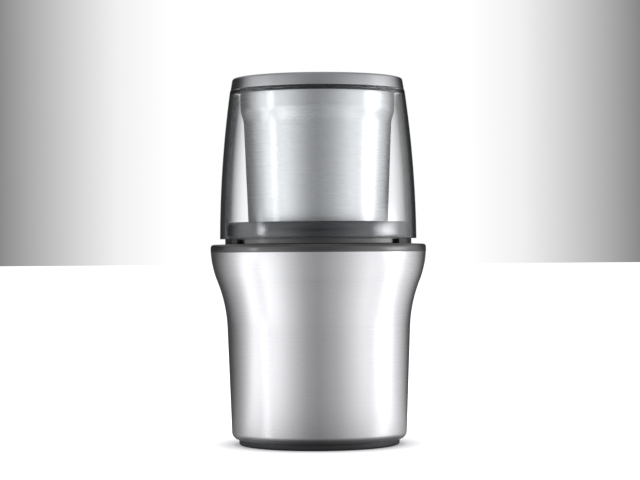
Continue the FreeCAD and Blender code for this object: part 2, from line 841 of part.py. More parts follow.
def post_angles():
    """Where the four posts stand: two each side of the front and of the back."""
    return [f"({base} {side} post_angle)" for base in (FRONT, BACK) for side in ("-", "+")]


def press_ring():
    """The ring under the deck, whose posts the lid pushes down."""
    body = piece("press_ring")
    turn(body, outline(draw(body, "ring_section"),
                       box("ring_inner_radius", "ring_outer_radius", "ring_bottom", "ring_top")))
    for number, angle in enumerate(post_angles()):
        half = "post_width / 2 / post_outer_radius * 180 / pi"
        post = outline(draw(body, f"post_plan_{number}", "XY_Plane", "ring_bottom"),
                       sector("post_inner_radius", "post_outer_radius", angle, half))
        pad(body, post, f"post_{number}", "post_top - ring_bottom")
    arm = outline(draw(body, "arm_plan", "XY_Plane", "ring_bottom"),
                  box("finger_left", "finger_right", "finger_place - finger_thickness / 2",
                      "(ring_inner_radius + ring_outer_radius) / 2"))
    pad(body, arm, "arm", "ring_height")
    finger = outline(draw(body, "finger_plan", "XY_Plane", "finger_bottom"),
                     box("finger_left", "finger_right", "finger_place - finger_thickness / 2",
                         "finger_place + finger_thickness / 2"))
    pad(body, finger, "finger", "finger_length + ring_height")


def microswitch():
    """The switch that the press ring works through its lever, with its three terminals."""
    body = piece("microswitch")
    plan = box("-switch_length / 2", "switch_length / 2",
               "finger_place - switch_thickness / 2", "finger_place + switch_thickness / 2")
    pad(body, outline(draw(body, "switch_plan", "XY_Plane", "switch_bottom"), plan), "case",
        "switch_height")
    ears = shifted(box("-lever_pivot_inset", "lever_pivot_inset", "-switch_thickness / 2",
                       "switch_thickness / 2"), "lever_pivot_across", "finger_place")
    ear_height = "lever_pivot_rise + lever_pivot_radius + lever_ear_wall"
    pad(body, outline(draw(body, "ear_plan", "XY_Plane", "switch_top"), ears), "ears", ear_height)
    gap = shifted(box("-lever_pivot_inset * 2", "lever_pivot_inset * 2", "-lever_width / 2 - lever_side_gap",
                      "lever_width / 2 + lever_side_gap"), "lever_pivot_across", "finger_place")
    pocket(body, outline(draw(body, "ear_gap_plan", "XY_Plane", "switch_top"), gap), "ear_gap", ear_height)
    pivot = circles(draw(body, "pivot_hole_plan", "XZ_Plane"),
                    [("lever_pivot_across", "lever_pivot_height")], "lever_pivot_radius + running_gap")
    bore(body, pivot, "pivot_hole")
    well = circles(draw(body, "plunger_hole_plan", "XY_Plane", "switch_top"),
                   [("plunger_across", "finger_place")], "plunger_radius + brush_gap")
    pocket(body, well, "plunger_hole", "switch_height / 2", upward=False)
    for number in (-1, 0, 1):
        blade = shifted(box("-terminal_thickness / 2", "terminal_thickness / 2", "-terminal_width / 2",
                            "terminal_width / 2"), f"{number} * switch_length / 3", "finger_place")
        pad(body, outline(draw(body, f"terminal_plan_{number + 1}", "XY_Plane",
                               "switch_bottom - terminal_length"), blade),
            f"terminal_{number + 1}", "terminal_length")


def switch_lever():
    """The thin steel lever over the switch, sloping up from its pivot."""
    body = piece("switch_lever")
    near = "lever_pivot_across"
    run = "lever_reach"
    half = "lever_thickness / 2"
    def spot(along, side):
        return (f"{near} + ({along}) * cos(lever_slope) - ({side}) * sin(lever_slope)",
                f"lever_pivot_height + ({along}) * sin(lever_slope) + ({side}) * cos(lever_slope)")
    leaf = outline(draw(body, "leaf_section", "XZ_Plane", "-finger_place"),
                   [spot("0", f"-{half}"), spot(run, f"-{half}"), spot(run, half), spot("0", half)])
    pad(body, leaf, "leaf", "lever_width", both=True)
    pivot = circles(draw(body, "pivot_section", "XZ_Plane", "-finger_place"),
                    [(near, "lever_pivot_height")], "lever_pivot_radius")
    pad(body, pivot, "pivot", "switch_thickness", both=True)


def switch_plunger():
    """The pin that the lever pushes into the switch."""
    body = piece("switch_plunger")
    rods(body, "pin", [("plunger_across", "finger_place")], "plunger_radius",
         "switch_top - switch_height / 2 + plunger_stroke + seat_gap",
         "plunger_top - switch_top + switch_height / 2 - plunger_stroke - seat_gap")


def field_core():
    """The square stack of steel plates round the armature."""
    body = piece("field_core")
    pad(body, outline(draw(body, "stack_plan", "XY_Plane", "core_bottom"),
                      cut_square("field_half_width", "field_corner_cut")), "stack", "core_length")
    middle = circles(draw(body, "bore_plan", "XY_Plane", "core_bottom"), [("0", "0")],
                     "armature_radius + air_gap")
    bore(body, middle, "bore")
    for across in (-1, 1):
        for up in (-1, 1):
            name = f"window_{'left' if across < 0 else 'right'}_{'front' if up < 0 else 'back'}"
            low = "coil_half_span - coil_width - coil_gap"
            high = "coil_half_span + coil_gap"
            near = "coil_offset - coil_gap"
            far = "coil_offset + coil_width + coil_gap"
            opening = [(f"{across} * ({x})", f"{up} * ({y})")
                       for x, y in ((low, near), (high, near), (high, far), (low, far))]
            bore(body, outline(draw(body, f"{name}_plan", "XY_Plane", "core_bottom"), opening), name)
    bolts = circles(draw(body, "bolt_hole_plan", "XY_Plane", "core_bottom"),
                    corners_of("bolt_place"), "bolt_radius + brush_gap")
    bore(body, bolts, "bolt_holes")


def field_coils():
    """The two coils that go round the poles, front and back."""
    body = piece("field_coils")
    for side, name in ((-1, "back"), (1, "front")):
        middle = f"{side} * (coil_offset + coil_width / 2)"
        outer = outline(draw(body, f"{name}_outside", "XZ_Plane", middle),
                        box("-coil_half_span", "coil_half_span", "core_bottom - coil_overhang",
                            "core_top + coil_overhang"))
        pad(body, outer, f"{name}_coil", "coil_width", both=True)
        inner = outline(draw(body, f"{name}_inside", "XZ_Plane", middle),
                        box("coil_width - coil_half_span", "coil_half_span - coil_width",
                            "core_bottom - coil_gap", "core_top + coil_gap"))
        opening = add_feature(body, "Pocket", f"{name}_opening", inner)
        bind(opening, "Length", "coil_width")
        opening.Midplane = True


def bracket(name, plate_bottom, housing_bottom, bearing_height):
    """A plate that holds one bearing, held by the four long bolts."""
    body = piece(name)
    pad(body, outline(draw(body, f"{name}_plan", "XY_Plane", plate_bottom),
                      cut_square("bracket_half_width", "bracket_corner_cut")), "plate", "bracket_plate")
    rods(body, "bearing_housing", [("0", "0")], "bearing_radius + bearing_wall", housing_bottom,
         bearing_height)
    seat = circles(draw(body, "seat_plan", "XY_Plane", housing_bottom), [("0", "0")],
                   "bearing_radius + press_fit_gap")
    bore(body, seat, "bearing_seat")
    bolts = circles(draw(body, "bolt_hole_plan", "XY_Plane", plate_bottom),
                    corners_of("bolt_place"), "bolt_radius + brush_gap")
    bore(body, bolts, "bolt_holes")
    window = outline(draw(body, "window_plan", "XY_Plane", plate_bottom),
                     bar("bearing_radius + bearing_wall + window_margin",
                         "bracket_half_width - window_edge", "window_width", "90"))
    repeat(body, bore(body, window, "window"), "windows", "2")


def bearing(name, bottom, height):
    """A plain bush round the motor shaft."""
    turned_piece(name, box("shaft_radius + running_gap", "bearing_radius", bottom, f"{bottom} + {height}"))


def motor_mounts():
    """Four rubber blocks between the motor and the shelf of the housing."""
    body = piece("motor_mounts")
    rods(body, "blocks", corners_of("bolt_place"), "mount_radius", "shelf_top", "mount_height")
    holes = circles(draw(body, "hole_plan", "XY_Plane", "shelf_top"), corners_of("bolt_place"),
                    "bolt_head_radius + brush_gap")
    bore(body, holes, "holes")


def armature():
    """The turning part of the motor."""
    turned_piece("motor_shaft", box("0", "shaft_radius", "shaft_bottom", "socket_bottom - brush_gap"))
    core = turned_piece("armature_core", box("shaft_radius + press_fit_gap", "armature_radius",
                                             "core_bottom", "core_top"))
    slot = outline(draw(core, "slot_plan", "XY_Plane", "core_bottom"),
                   bar("armature_radius - armature_slot_depth", "armature_radius + cut_overrun",
                       "armature_slot_width", "0"))
    repeat(core, bore(core, slot, "slot"), "slots", "armature_slot_count")
    windings = piece("armature_windings")
    ends = (("lower", "winding_bottom", "core_bottom"), ("upper", "core_top", "winding_top"))
    for name, low, high in ends:
        section = outline(draw(windings, f"{name}_section"), [
            ("shaft_radius + press_fit_gap", low),
            *bend("winding_radius", low, "winding_round", "right", "up"),
            *bend("winding_radius", high, "winding_round", "up", "left"),
            ("shaft_radius + press_fit_gap", high),
        ])
        turn(windings, section, f"{name}_turns")
    turned_piece("commutator", [
        ("shaft_radius + press_fit_gap", "commutator_bottom"),
        ("commutator_radius", "commutator_bottom"),
        ("commutator_radius", "commutator_top - commutator_riser"),
        ("commutator_radius + commutator_riser", "commutator_top - commutator_riser"),
        ("commutator_radius + commutator_riser", "commutator_top"),
        ("shaft_radius + press_fit_gap", "commutator_top"),
    ])


def cooling_fan():
    """The fan between the armature and the upper bracket."""
    body = piece("cooling_fan")
    turn(body, outline(draw(body, "fan_section"), [
        ("shaft_radius + press_fit_gap", "fan_bottom"),
        ("fan_radius", "fan_bottom"),
        ("fan_radius", "fan_bottom + fan_plate"),
        ("fan_hub_radius", "fan_bottom + fan_plate"),
        ("fan_hub_radius", "fan_top"),
        ("shaft_radius + press_fit_gap", "fan_top"),
    ]))
    vane = outline(draw(body, "vane_plan", "XY_Plane", "fan_bottom + fan_plate / 2"),
                   bar("fan_hub_radius - join_overlap", "fan_radius", "fan_blade", "0"))
    repeat(body, pad(body, vane, "vane", "fan_height - fan_plate / 2"), "vanes", "fan_blade_count")


def brush_gear():
    """The two brushes at the sides of the commutator, in their holders, with their springs."""
    holders = piece("brush_holders")
    brushes = piece("carbon_brushes")
    springs = piece("brush_springs")
    channel_bottom = "brush_middle - brush_height / 2 - brush_gap"
    for side, name in ((-1, "left"), (1, "right")):
        block = outline(draw(holders, f"{name}_plan", "XY_Plane", "lower_bracket_top"),
                        box(f"{side} * holder_start", f"{side} * holder_end", "-holder_half_width",
                            "holder_half_width"))
        pad(holders, block, f"{name}_holder", "holder_top - lower_bracket_top")
        channel = outline(draw(holders, f"{name}_channel_plan", "XY_Plane", channel_bottom),
                          box(f"{side} * (holder_start - cut_overrun)",
                              f"{side} * (holder_end - holder_wall)",
                              "-brush_width / 2 - brush_gap", "brush_width / 2 + brush_gap"))
        pocket(holders, channel, f"{name}_channel", "brush_height + 2 * brush_gap")
        brush = outline(draw(brushes, f"{name}_plan", "XY_Plane", "brush_middle - brush_height / 2"),
                        box(f"{side} * brush_start", f"{side} * brush_end", "-brush_width / 2",
                            "brush_width / 2"))
        pad(brushes, brush, f"{name}_brush", "brush_height")
        length = "(holder_end - holder_wall - brush_end)"
        middle = f"{side} * (brush_end + {length} / 2)"
        coil = circles(draw(springs, f"{name}_coil_plan", "YZ_Plane", middle), [("0", "brush_middle")],
                       "brush_spring_radius")
        pad(springs, coil, f"{name}_coil", length, both=True)


def motor_bolts():
    """Four long bolts through both brackets and the field core, with their heads below."""
    top = "upper_bracket_bottom + bracket_plate"
    screws("motor_bolts", corners_of("bolt_place"), "lower_bracket_bottom",
           f"{top} - lower_bracket_bottom + bolt_head_height + bolt_end",
           "bolt_radius", "bolt_head_radius", "bolt_head_height", head_below=True)
    body = piece("motor_nuts")
    for number, (across, up) in enumerate(corners_of("bolt_place")):
        nut = outline(draw(body, f"nut_plan_{number}", "XY_Plane", top),
                      shifted(hexagon("2 * bolt_head_radius"), across, up))
        pad(body, nut, f"nut_{number}", "bolt_head_height")
    holes = circles(draw(body, "thread_plan", "XY_Plane", top), corners_of("bolt_place"),
                    "bolt_radius + press_fit_gap")
    bore(body, holes, "threads")


def thermal_fuse():
    """A small cut-out that lies against the back coil."""
    body = piece("thermal_fuse")
    section = circles(draw(body, "fuse_section", "YZ_Plane"),
                      [("coil_offset + coil_width + fuse_radius",
                        "core_top + coil_overhang - fuse_radius")], "fuse_radius")
    pad(body, section, "fuse", "fuse_length", both=True)


def shaft_seal():
    """The rubber ring in the floor of the well, round the motor shaft."""
    turned_piece("shaft_seal", box("shaft_radius + running_gap", "well_hole_radius", "well_bottom",
                                   "well_top"))


def drive_coupling():
    """The socket on the motor shaft that drives the blade."""
    body = turned_piece("drive_coupling", [
        ("0", "socket_bottom - brush_gap"),
        ("shaft_radius + press_fit_gap", "socket_bottom - brush_gap"),
        ("shaft_radius + press_fit_gap", "drive_bottom"),
        ("drive_radius", "drive_bottom"),
        ("drive_radius", "drive_top"),
        ("0", "drive_top"),
    ])
    middle = circles(draw(body, "root_plan", "XY_Plane", "socket_bottom"), [("0", "0")],
                     "driven_root_radius + tooth_gap")
    pocket(body, middle, "root", "drive_top - socket_bottom")
    tooth = outline(draw(body, "tooth_plan", "XY_Plane", "socket_bottom"),
                    bar("0", "driven_tooth_radius + tooth_gap", "driven_tooth_width + 2 * tooth_gap", "0"))
    cut = pocket(body, tooth, "tooth", "drive_top - socket_bottom")
    repeat(body, cut, "teeth", "driven_tooth_count")


def driven_coupling():
    """The toothed wheel under the bowl that drops into the socket."""
    body = piece("driven_coupling")
    rods(body, "hub", [("0", "0")], "driven_root_radius", "driven_bottom", "driven_top - driven_bottom")
    tooth = outline(draw(body, "tooth_plan", "XY_Plane", "driven_bottom"),
                    bar("0", "driven_tooth_radius", "driven_tooth_width", "0"))
    repeat(body, pad(body, tooth, "tooth", "driven_top - driven_bottom"), "teeth", "driven_tooth_count")
    hole = circles(draw(body, "shaft_hole_plan", "XY_Plane", "driven_bottom"), [("0", "0")],
                   "blade_shaft_radius + press_fit_gap")
    bore(body, hole, "shaft_hole")


def bowl_cup():
    """The steel bowl that holds the spices, with three studs under its floor."""
    body = piece("bowl_cup")
    outer_corner = bend("bowl_base_radius", "bowl_floor", "bowl_base_round", "right", "up")
    inner_corner = bend("(bowl_base_radius - bowl_wall)", "bowl_inside", "(bowl_base_round - bowl_wall)",
                        "down", "left")
    turn(body, outline(draw(body, "bowl_section"), [
        ("bush_radius + press_fit_gap", "bowl_floor"),
        *outer_corner,
        ("bowl_shoulder_radius", "bowl_rim - bowl_rim_band - bowl_shoulder_drop"),
        ("bowl_rim_radius", "bowl_rim - bowl_rim_band"),
        ("bowl_rim_radius", "bowl_rim"),
        ("bowl_rim_radius - bowl_wall", "bowl_rim"),
        ("bowl_rim_radius - bowl_wall", "bowl_rim - bowl_rim_band"),
        ("bowl_shoulder_radius - bowl_wall", "bowl_rim - bowl_rim_band - bowl_shoulder_drop"),
        *inner_corner,
        ("bush_radius + press_fit_gap", "bowl_inside"),
    ]))
    rods(body, "studs", around("bowl_stud_circle", "bowl_stud_count", "90"), "bowl_stud_radius",
         "bowl_floor - bowl_stud_length", "bowl_stud_length + bowl_wall / 2")


def bowl_collar():
    """The glossy black foot of the bowl, hollow underneath, with slots for the keys of the well."""
    body = piece("bowl_collar")
    seat = "(bowl_base_radius + press_fit_gap)"
    turn(body, outline(draw(body, "collar_section"), [
        ("bush_radius + press_fit_gap", "bowl_floor - press_fit_gap"),
        *bend(seat, "(bowl_floor - press_fit_gap)", "bowl_base_round", "right", "up"),
        (f"{seat} + collar_seat_flare", "collar_crown"),
        *bend("collar_radius", "collar_crown", "collar_round", "right", "down"),
        ("collar_radius", "collar_bottom"),
        ("bowl_skirt_radius", "collar_bottom"),
        ("bowl_skirt_radius", "bowl_skirt_bottom"),
        ("bowl_skirt_radius - bowl_skirt_wall", "bowl_skirt_bottom"),
        ("bowl_skirt_radius - bowl_skirt_wall", "collar_crown - collar_top"),
        (f"{seat} + collar_seat_wall", "collar_crown - collar_top"),
        (f"{seat} + collar_seat_wall", "collar_floor_bottom"),
        ("collar_boss_radius", "collar_floor_bottom"),
        ("collar_boss_radius", "collar_boss_bottom"),
        ("bush_radius + press_fit_gap", "collar_boss_bottom"),
    ]))
    slot = outline(draw(body, "key_slot_plan", "XY_Plane", "bowl_skirt_bottom"),
                   bar("bowl_skirt_radius - key_length", "neck_radius", "key_width + 2 * key_gap", "0"))
    key_slot = pocket(body, slot, "key_slot", "key_height + key_gap")
    repeat(body, key_slot, "key_slots", "key_count")
    holes = circles(draw(body, "stud_hole_plan", "XY_Plane", "collar_floor_bottom"),
                    around("bowl_stud_circle", "bowl_stud_count", "90"), "bowl_stud_radius + press_fit_gap")
    pocket(body, holes, "stud_holes", "collar_floor")


def stud_nuts():
    """The nuts that hold the collar to the bowl."""
    body = piece("stud_nuts")
    bottom = "collar_floor_bottom - stud_nut_height"
    for number, (across, up) in enumerate(around("bowl_stud_circle", "bowl_stud_count", "90")):
        nut = outline(draw(body, f"nut_plan_{number}", "XY_Plane", bottom),
                      shifted(hexagon("stud_nut_width"), across, up))
        pad(body, nut, f"nut_{number}", "stud_nut_height")
    holes = circles(draw(body, "hole_plan", "XY_Plane", bottom),
                    around("bowl_stud_circle", "bowl_stud_count", "90"), "bowl_stud_radius + press_fit_gap")
    bore(body, holes, "threads")


def blade_set():
    """The blade with its shaft, bush, seal and nut."""
    turned_piece("blade_bearing", box("blade_shaft_radius + running_gap", "bush_radius",
                                      "collar_boss_bottom", "bush_top"))
    turned_piece("blade_seal", box("blade_shaft_radius + running_gap", "blade_seal_radius",
                                   "bush_top", "blade_seal_top"))
    turned_piece("blade_shaft", box("0", "blade_shaft_radius", "driven_bottom",
                                    "blade_top + blade_washer + blade_nut_height"))
    turned_piece("blade_washer", box("blade_shaft_radius + press_fit_gap", "blade_hub_radius",
                                     "blade_top", "blade_top + blade_washer"))
    nut = piece("blade_nut")
    base = "blade_top + blade_washer"
    pad(nut, outline(draw(nut, "nut_plan", "XY_Plane", base), hexagon("blade_nut_width")), "hex",
        "blade_nut_height")
    crown = f"{base} + blade_nut_height"
    turn(nut, outline(draw(nut, "dome_section"), [
        ("0", crown),
        ("blade_nut_width / 2", crown),
        ("blade_nut_width / 2 * sqrt(0.5)", f"{crown} + blade_dome_height * sqrt(0.5)", "via"),
        ("0", f"{crown} + blade_dome_height"),
    ]), "dome")
    thread = circles(draw(nut, "thread_plan", "XY_Plane", base), [("0", "0")],
                     "blade_shaft_radius + press_fit_gap")
    pocket(nut, thread, "thread", "blade_nut_height")


def blade():
    """The blade: a flat hub and two wings that rise towards their tips."""
    body = piece("blade")
    rods(body, "hub", [("0", "0")], "blade_hub_radius", "blade_bottom", "blade_thickness")
    side = [
        ("blade_hub_radius - blade_root", "blade_bottom"),
        ("blade_hub_radius + blade_bend", "blade_bottom"),
        ("blade_span", "blade_bottom + blade_lift"),
        ("blade_span", "blade_top + blade_lift"),
        ("blade_hub_radius + blade_bend_top", "blade_top"),
        ("blade_hub_radius - blade_root", "blade_top"),
    ]
    wing = pad(body, outline(draw(body, "wing_side"), side), "wing", "blade_width", both=True)
    far = "(blade_span + cut_overrun)"
    sweep = [
        ("0", "blade_width / 2 + cut_overrun"),
        ("0", "blade_width / 2"),
        ("blade_hub_radius", "blade_width / 2"),
        ("blade_span", "blade_width / 2 - blade_tip_width"),
        (far, "blade_width / 2 - blade_tip_width"),
        (far, "blade_width / 2 + cut_overrun"),
    ]
    edge = outline(draw(body, "edge_plan", "XY_Plane", "blade_bottom - cut_overrun"), sweep)
    trim = pocket(body, edge, "cutting_edge", "blade_lift + blade_thickness + 2 * cut_overrun")
    pattern = repeat(body, wing, "wings", "2")
    pattern.Originals = [wing, trim]
    hole = circles(draw(body, "shaft_hole_plan", "XY_Plane", "blade_bottom"), [("0", "0")],
                   "blade_shaft_radius + press_fit_gap")
    bore(body, hole, "shaft_hole")


def lid_arc(inset):
    """The middle of the lid's curved side, as a point that its arc passes through."""
    return (f"(lid_mouth_radius + lid_top_radius) / 2 + lid_swell - {inset}",
            "(lid_bottom + lid_top) / 2", "via")


def clear_cover():
    """The clear cover over the bowl, with the ledge inside its top that lifts the seal."""
    bow = 1 - 0.5 ** 0.5
    turned_piece("clear_cover", [
        ("lid_mouth_radius - lid_wall", "lid_bottom"),
        ("lid_mouth_radius", "lid_bottom"),
        lid_arc("0"),
        ("lid_top_radius", "lid_top"),
        ("lid_ledge_radius", "lid_top"),
        ("lid_ledge_radius", "lid_ledge_bottom"),
        ("lid_top_radius - lid_wall - lid_shoulder", "lid_ledge_bottom"),
        (f"lid_top_radius - lid_wall - lid_shoulder * {bow}",
         f"lid_ledge_bottom - lid_shoulder * {bow}", "via"),
        ("lid_top_radius - lid_wall + lid_shoulder_run", "lid_ledge_bottom - lid_shoulder"),
        lid_arc("lid_wall"),
    ])


def lid_cap():
    """The brushed steel cap over the top of the cover."""
    top_radius = "(cap_radius - cap_taper)"
    bow = 1 - 0.5 ** 0.5
    turned_piece("lid_cap", [
        ("cap_radius - cap_wall", "lid_top"),
        ("cap_radius", "lid_top"),
        (f"{top_radius} + cap_taper * cap_round / cap_height", "cap_top - cap_round"),
        (f"{top_radius} - cap_round * {bow}", f"cap_top - cap_round * {bow}", "via"),
        (f"{top_radius} - cap_round", "cap_top"),
        ("0", "cap_top"),
        ("0", "liner_top"),
        (f"{top_radius} - cap_wall", "liner_top"),
    ])


def cap_liner():
    """The plastic plate inside the cap, on which the lid's springs push."""
    turned_piece("cap_liner", [
        ("0", "liner_bottom"),
        ("liner_radius - liner_wall", "liner_bottom"),
        ("liner_radius - liner_wall", "lid_top"),
        ("liner_radius", "lid_top"),
        ("liner_radius", "liner_top"),
        ("0", "liner_top"),
    ])


def inner_cover():
    """The disc inside the lid that closes the bowl, held up by the cover's ledge."""
    body = turned_piece("inner_cover", [
        ("0", "seal_bottom"),
        ("spigot_radius - spigot_wall", "seal_bottom"),
        ("spigot_radius - spigot_wall", "seal_bottom - spigot_depth"),
        ("spigot_radius", "seal_bottom - spigot_depth"),
        ("spigot_radius", "seal_bottom"),
        ("seal_radius", "seal_bottom"),
        ("seal_radius", "seal_flange_bottom"),
        ("seal_flange_radius", "seal_flange_bottom"),
        ("seal_flange_radius", "seal_flange_top"),
        ("0", "seal_flange_top"),
    ])
    seats = circles(draw(body, "spring_seat_plan", "XY_Plane", "seal_flange_top - lid_spring_seat"),
                    around("lid_spring_circle", "lid_spring_count", "90"), "lid_spring_radius + loose_gap")
    pocket(body, seats, "spring_seats", "lid_spring_seat")


def bowl_gasket():
    """The dark rubber ring that seals the rim of the bowl."""
    turned_piece("bowl_gasket", box("gasket_inner_radius", "gasket_outer_radius", "gasket_bottom",
                                    "seal_bottom"))


def cord_gland():
    """The bush in the back wall where the mains cord would come in."""
    body = piece("cord_gland")
    def disc(name, start, finish, radius):
        plan = circles(draw(body, f"{name}_plan", "XZ_Plane", f"-({start} + {finish}) / 2"),
                       [("0", "cord_height")], radius)
        return pad(body, plan, name, f"({finish}) - ({start})", both=True)
    disc("barrel", "gland_nut_start", "cord_wall", "gland_radius")
    disc("flange", "cord_wall", "cord_wall + gland_flange", "gland_flange_radius")
    disc("nut", "gland_nut_start", "gland_nut_end", "gland_nut_radius")
    hole = circles(draw(body, "bore_plan", "XZ_Plane"), [("0", "cord_height")], "cord_radius")
    pocket(body, hole, "bore", "cord_wall + gland_flange + cut_overrun", upward=False)


def cord_clamp():
    """The bridge on the shelf that would hold the cord, and its two screws."""
    body = piece("cord_clamp")
    plan = box("-clamp_half_width", "clamp_half_width", "clamp_place - clamp_depth / 2",
               "clamp_place + clamp_depth / 2")
    pad(body, outline(draw(body, "bridge_plan", "XY_Plane", "shelf_top"), plan), "bridge",
        "clamp_top - shelf_top")
    hole = circles(draw(body, "tunnel_plan", "XZ_Plane"), [("0", "cord_height")], "cord_radius")
    pocket(body, hole, "tunnel", "clamp_place + clamp_depth", upward=False)
    places = [(f"{side} * (clamp_half_width - clamp_wall)", "clamp_place") for side in (-1, 1)]
    holes = circles(draw(body, "screw_hole_plan", "XY_Plane", "shelf_top"), places,
                    "screw_radius + press_fit_gap")
    bore(body, holes, "screw_holes")
    screws("clamp_screws", places, "shelf_top", "clamp_top - shelf_top", "screw_radius",
           "screw_head_radius", "screw_head_height", head_below=False)


def terminal_block():
    """The block on the base where the mains leads are joined."""
    body = piece("terminal_block")
    plan = box("-block_width / 2", "block_width / 2", "block_place - block_depth / 2",
               "block_place + block_depth / 2")
    pad(body, outline(draw(body, "block_plan", "XY_Plane", "base_plate_top"), plan), "block",
        "block_height")
    holes = circles(draw(body, "screw_well_plan", "XY_Plane", "base_plate_top + block_height"),
                    [(f"{side} * block_width / 4", "block_place") for side in (-1, 1)],
                    "block_screw_radius")
    pocket(body, holes, "screw_wells", "block_height / 2", upward=False)


def fasteners_and_springs():
    """The screws of the base and deck, and the springs of the press ring and lid."""
    base_places = around("base_screw_circle", "base_screw_count", "45")
    deck_places = around("boss_circle", "deck_screw_count", "45")
    press_places = around("press_spring_circle", "press_spring_count")
    lid_places = around("lid_spring_circle", "lid_spring_count", "90")
    lid_spring_bottom = "seal_flange_top - lid_spring_seat"
    screws("base_screws", base_places, "base_plate_height", "screw_length",
           "screw_radius", "screw_head_radius", "screw_head_height", head_below=True)
    screws("deck_screws", deck_places, "flange_bottom", "screw_length",
           "screw_radius", "screw_head_radius", "screw_head_height", head_below=True)
    sleeves("press_springs", press_places, "press_spring_radius", "press_spring_wire",
            "flange_top", "ring_bottom - flange_top")
    sleeves("lid_springs", lid_places, "lid_spring_radius", "lid_spring_wire",
            lid_spring_bottom, f"liner_bottom - ({lid_spring_bottom})")


def build():
    """Every sub-part, from the table upwards."""
    foot_ring()
    base_cup()
    outer_shell()
    inner_housing()
    top_deck()
    press_ring()
    microswitch()
    switch_lever()
    switch_plunger()
    motor_mounts()
    bracket("lower_bracket", "lower_bracket_bottom", "lower_bearing_bottom", "lower_bearing_height")
    bearing("lower_bearing", "lower_bearing_bottom", "lower_bearing_height")
    field_core()
    field_coils()
    bracket("upper_bracket", "upper_bracket_bottom", "upper_bracket_bottom", "upper_bearing_height")
    bearing("upper_bearing", "upper_bracket_bottom", "upper_bearing_height")
    motor_bolts()
    thermal_fuse()
    brush_gear()
    armature()
    cooling_fan()
    shaft_seal()
    drive_coupling()
    driven_coupling()
    bowl_cup()
    bowl_collar()
    stud_nuts()
    blade_set()
    blade()
    clear_cover()
    lid_cap()
    cap_liner()
    inner_cover()
    bowl_gasket()
    cord_gland()
    cord_clamp()
    terminal_block()
    fasteners_and_springs()
    doc.recompute()


def check():
    """Stops if any object failed, a shape isn't sound, or a cut took nothing away."""
    for thing in doc.Objects:
        if {"Invalid", "Error"} & set(thing.State):
            raise RuntimeError(f"{thing.Label} failed: {thing.State}")
    for made in pieces:
        if made.Shape.isNull() or not made.Shape.isValid() or not made.Shape.Solids:
            raise RuntimeError(f"{made.Label} has no sound shape")
    for cut in cuts:
        if cut.Shape.Volume > cut.BaseFeature.Shape.Volume - 0.01:
            raise RuntimeError(f"{cut.Label} cuts nothing")


def export():
    """Writes each sub-part to a file of its own."""
    os.makedirs("parts", exist_ok=True)
    for made in pieces:
        made.Shape.exportStep(f"parts/{made.Label}.step")


fill_sheet()
build()
check()
export()
print(f"{len(pieces)} sub-parts, {value('cap_top'):.1f} mm high")
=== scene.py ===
import logging
import math
from collections.abc import Sequence
from dataclasses import dataclass
from enum import Enum
from typing import ClassVar

import bpy
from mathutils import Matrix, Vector


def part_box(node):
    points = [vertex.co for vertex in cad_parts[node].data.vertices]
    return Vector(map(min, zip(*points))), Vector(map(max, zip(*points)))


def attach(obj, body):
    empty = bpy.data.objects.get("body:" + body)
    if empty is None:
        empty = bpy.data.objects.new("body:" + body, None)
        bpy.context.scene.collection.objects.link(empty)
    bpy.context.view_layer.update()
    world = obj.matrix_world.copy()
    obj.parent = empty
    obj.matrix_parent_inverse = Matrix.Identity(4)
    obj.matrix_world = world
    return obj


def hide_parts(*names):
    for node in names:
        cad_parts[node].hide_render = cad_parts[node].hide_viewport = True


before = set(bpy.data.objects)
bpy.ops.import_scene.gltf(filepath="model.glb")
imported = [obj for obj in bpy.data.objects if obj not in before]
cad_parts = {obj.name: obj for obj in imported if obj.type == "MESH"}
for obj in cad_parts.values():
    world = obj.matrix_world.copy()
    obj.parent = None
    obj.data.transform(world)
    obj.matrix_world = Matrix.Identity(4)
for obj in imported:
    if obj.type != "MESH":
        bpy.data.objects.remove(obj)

LOG = logging.getLogger("spice_grinder")
MM = 0.001
PHOTO_WIDTH = 640
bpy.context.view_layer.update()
FRONT = -90.0
BACK = 90.0

Point = tuple[float, float]
Colour = tuple[float, float, float]


class Brushing(Enum):
    """Which way the fine lines of a brushed surface run."""

    AROUND = "round the axis, one above the other"
    RINGS = "rings on a flat top"


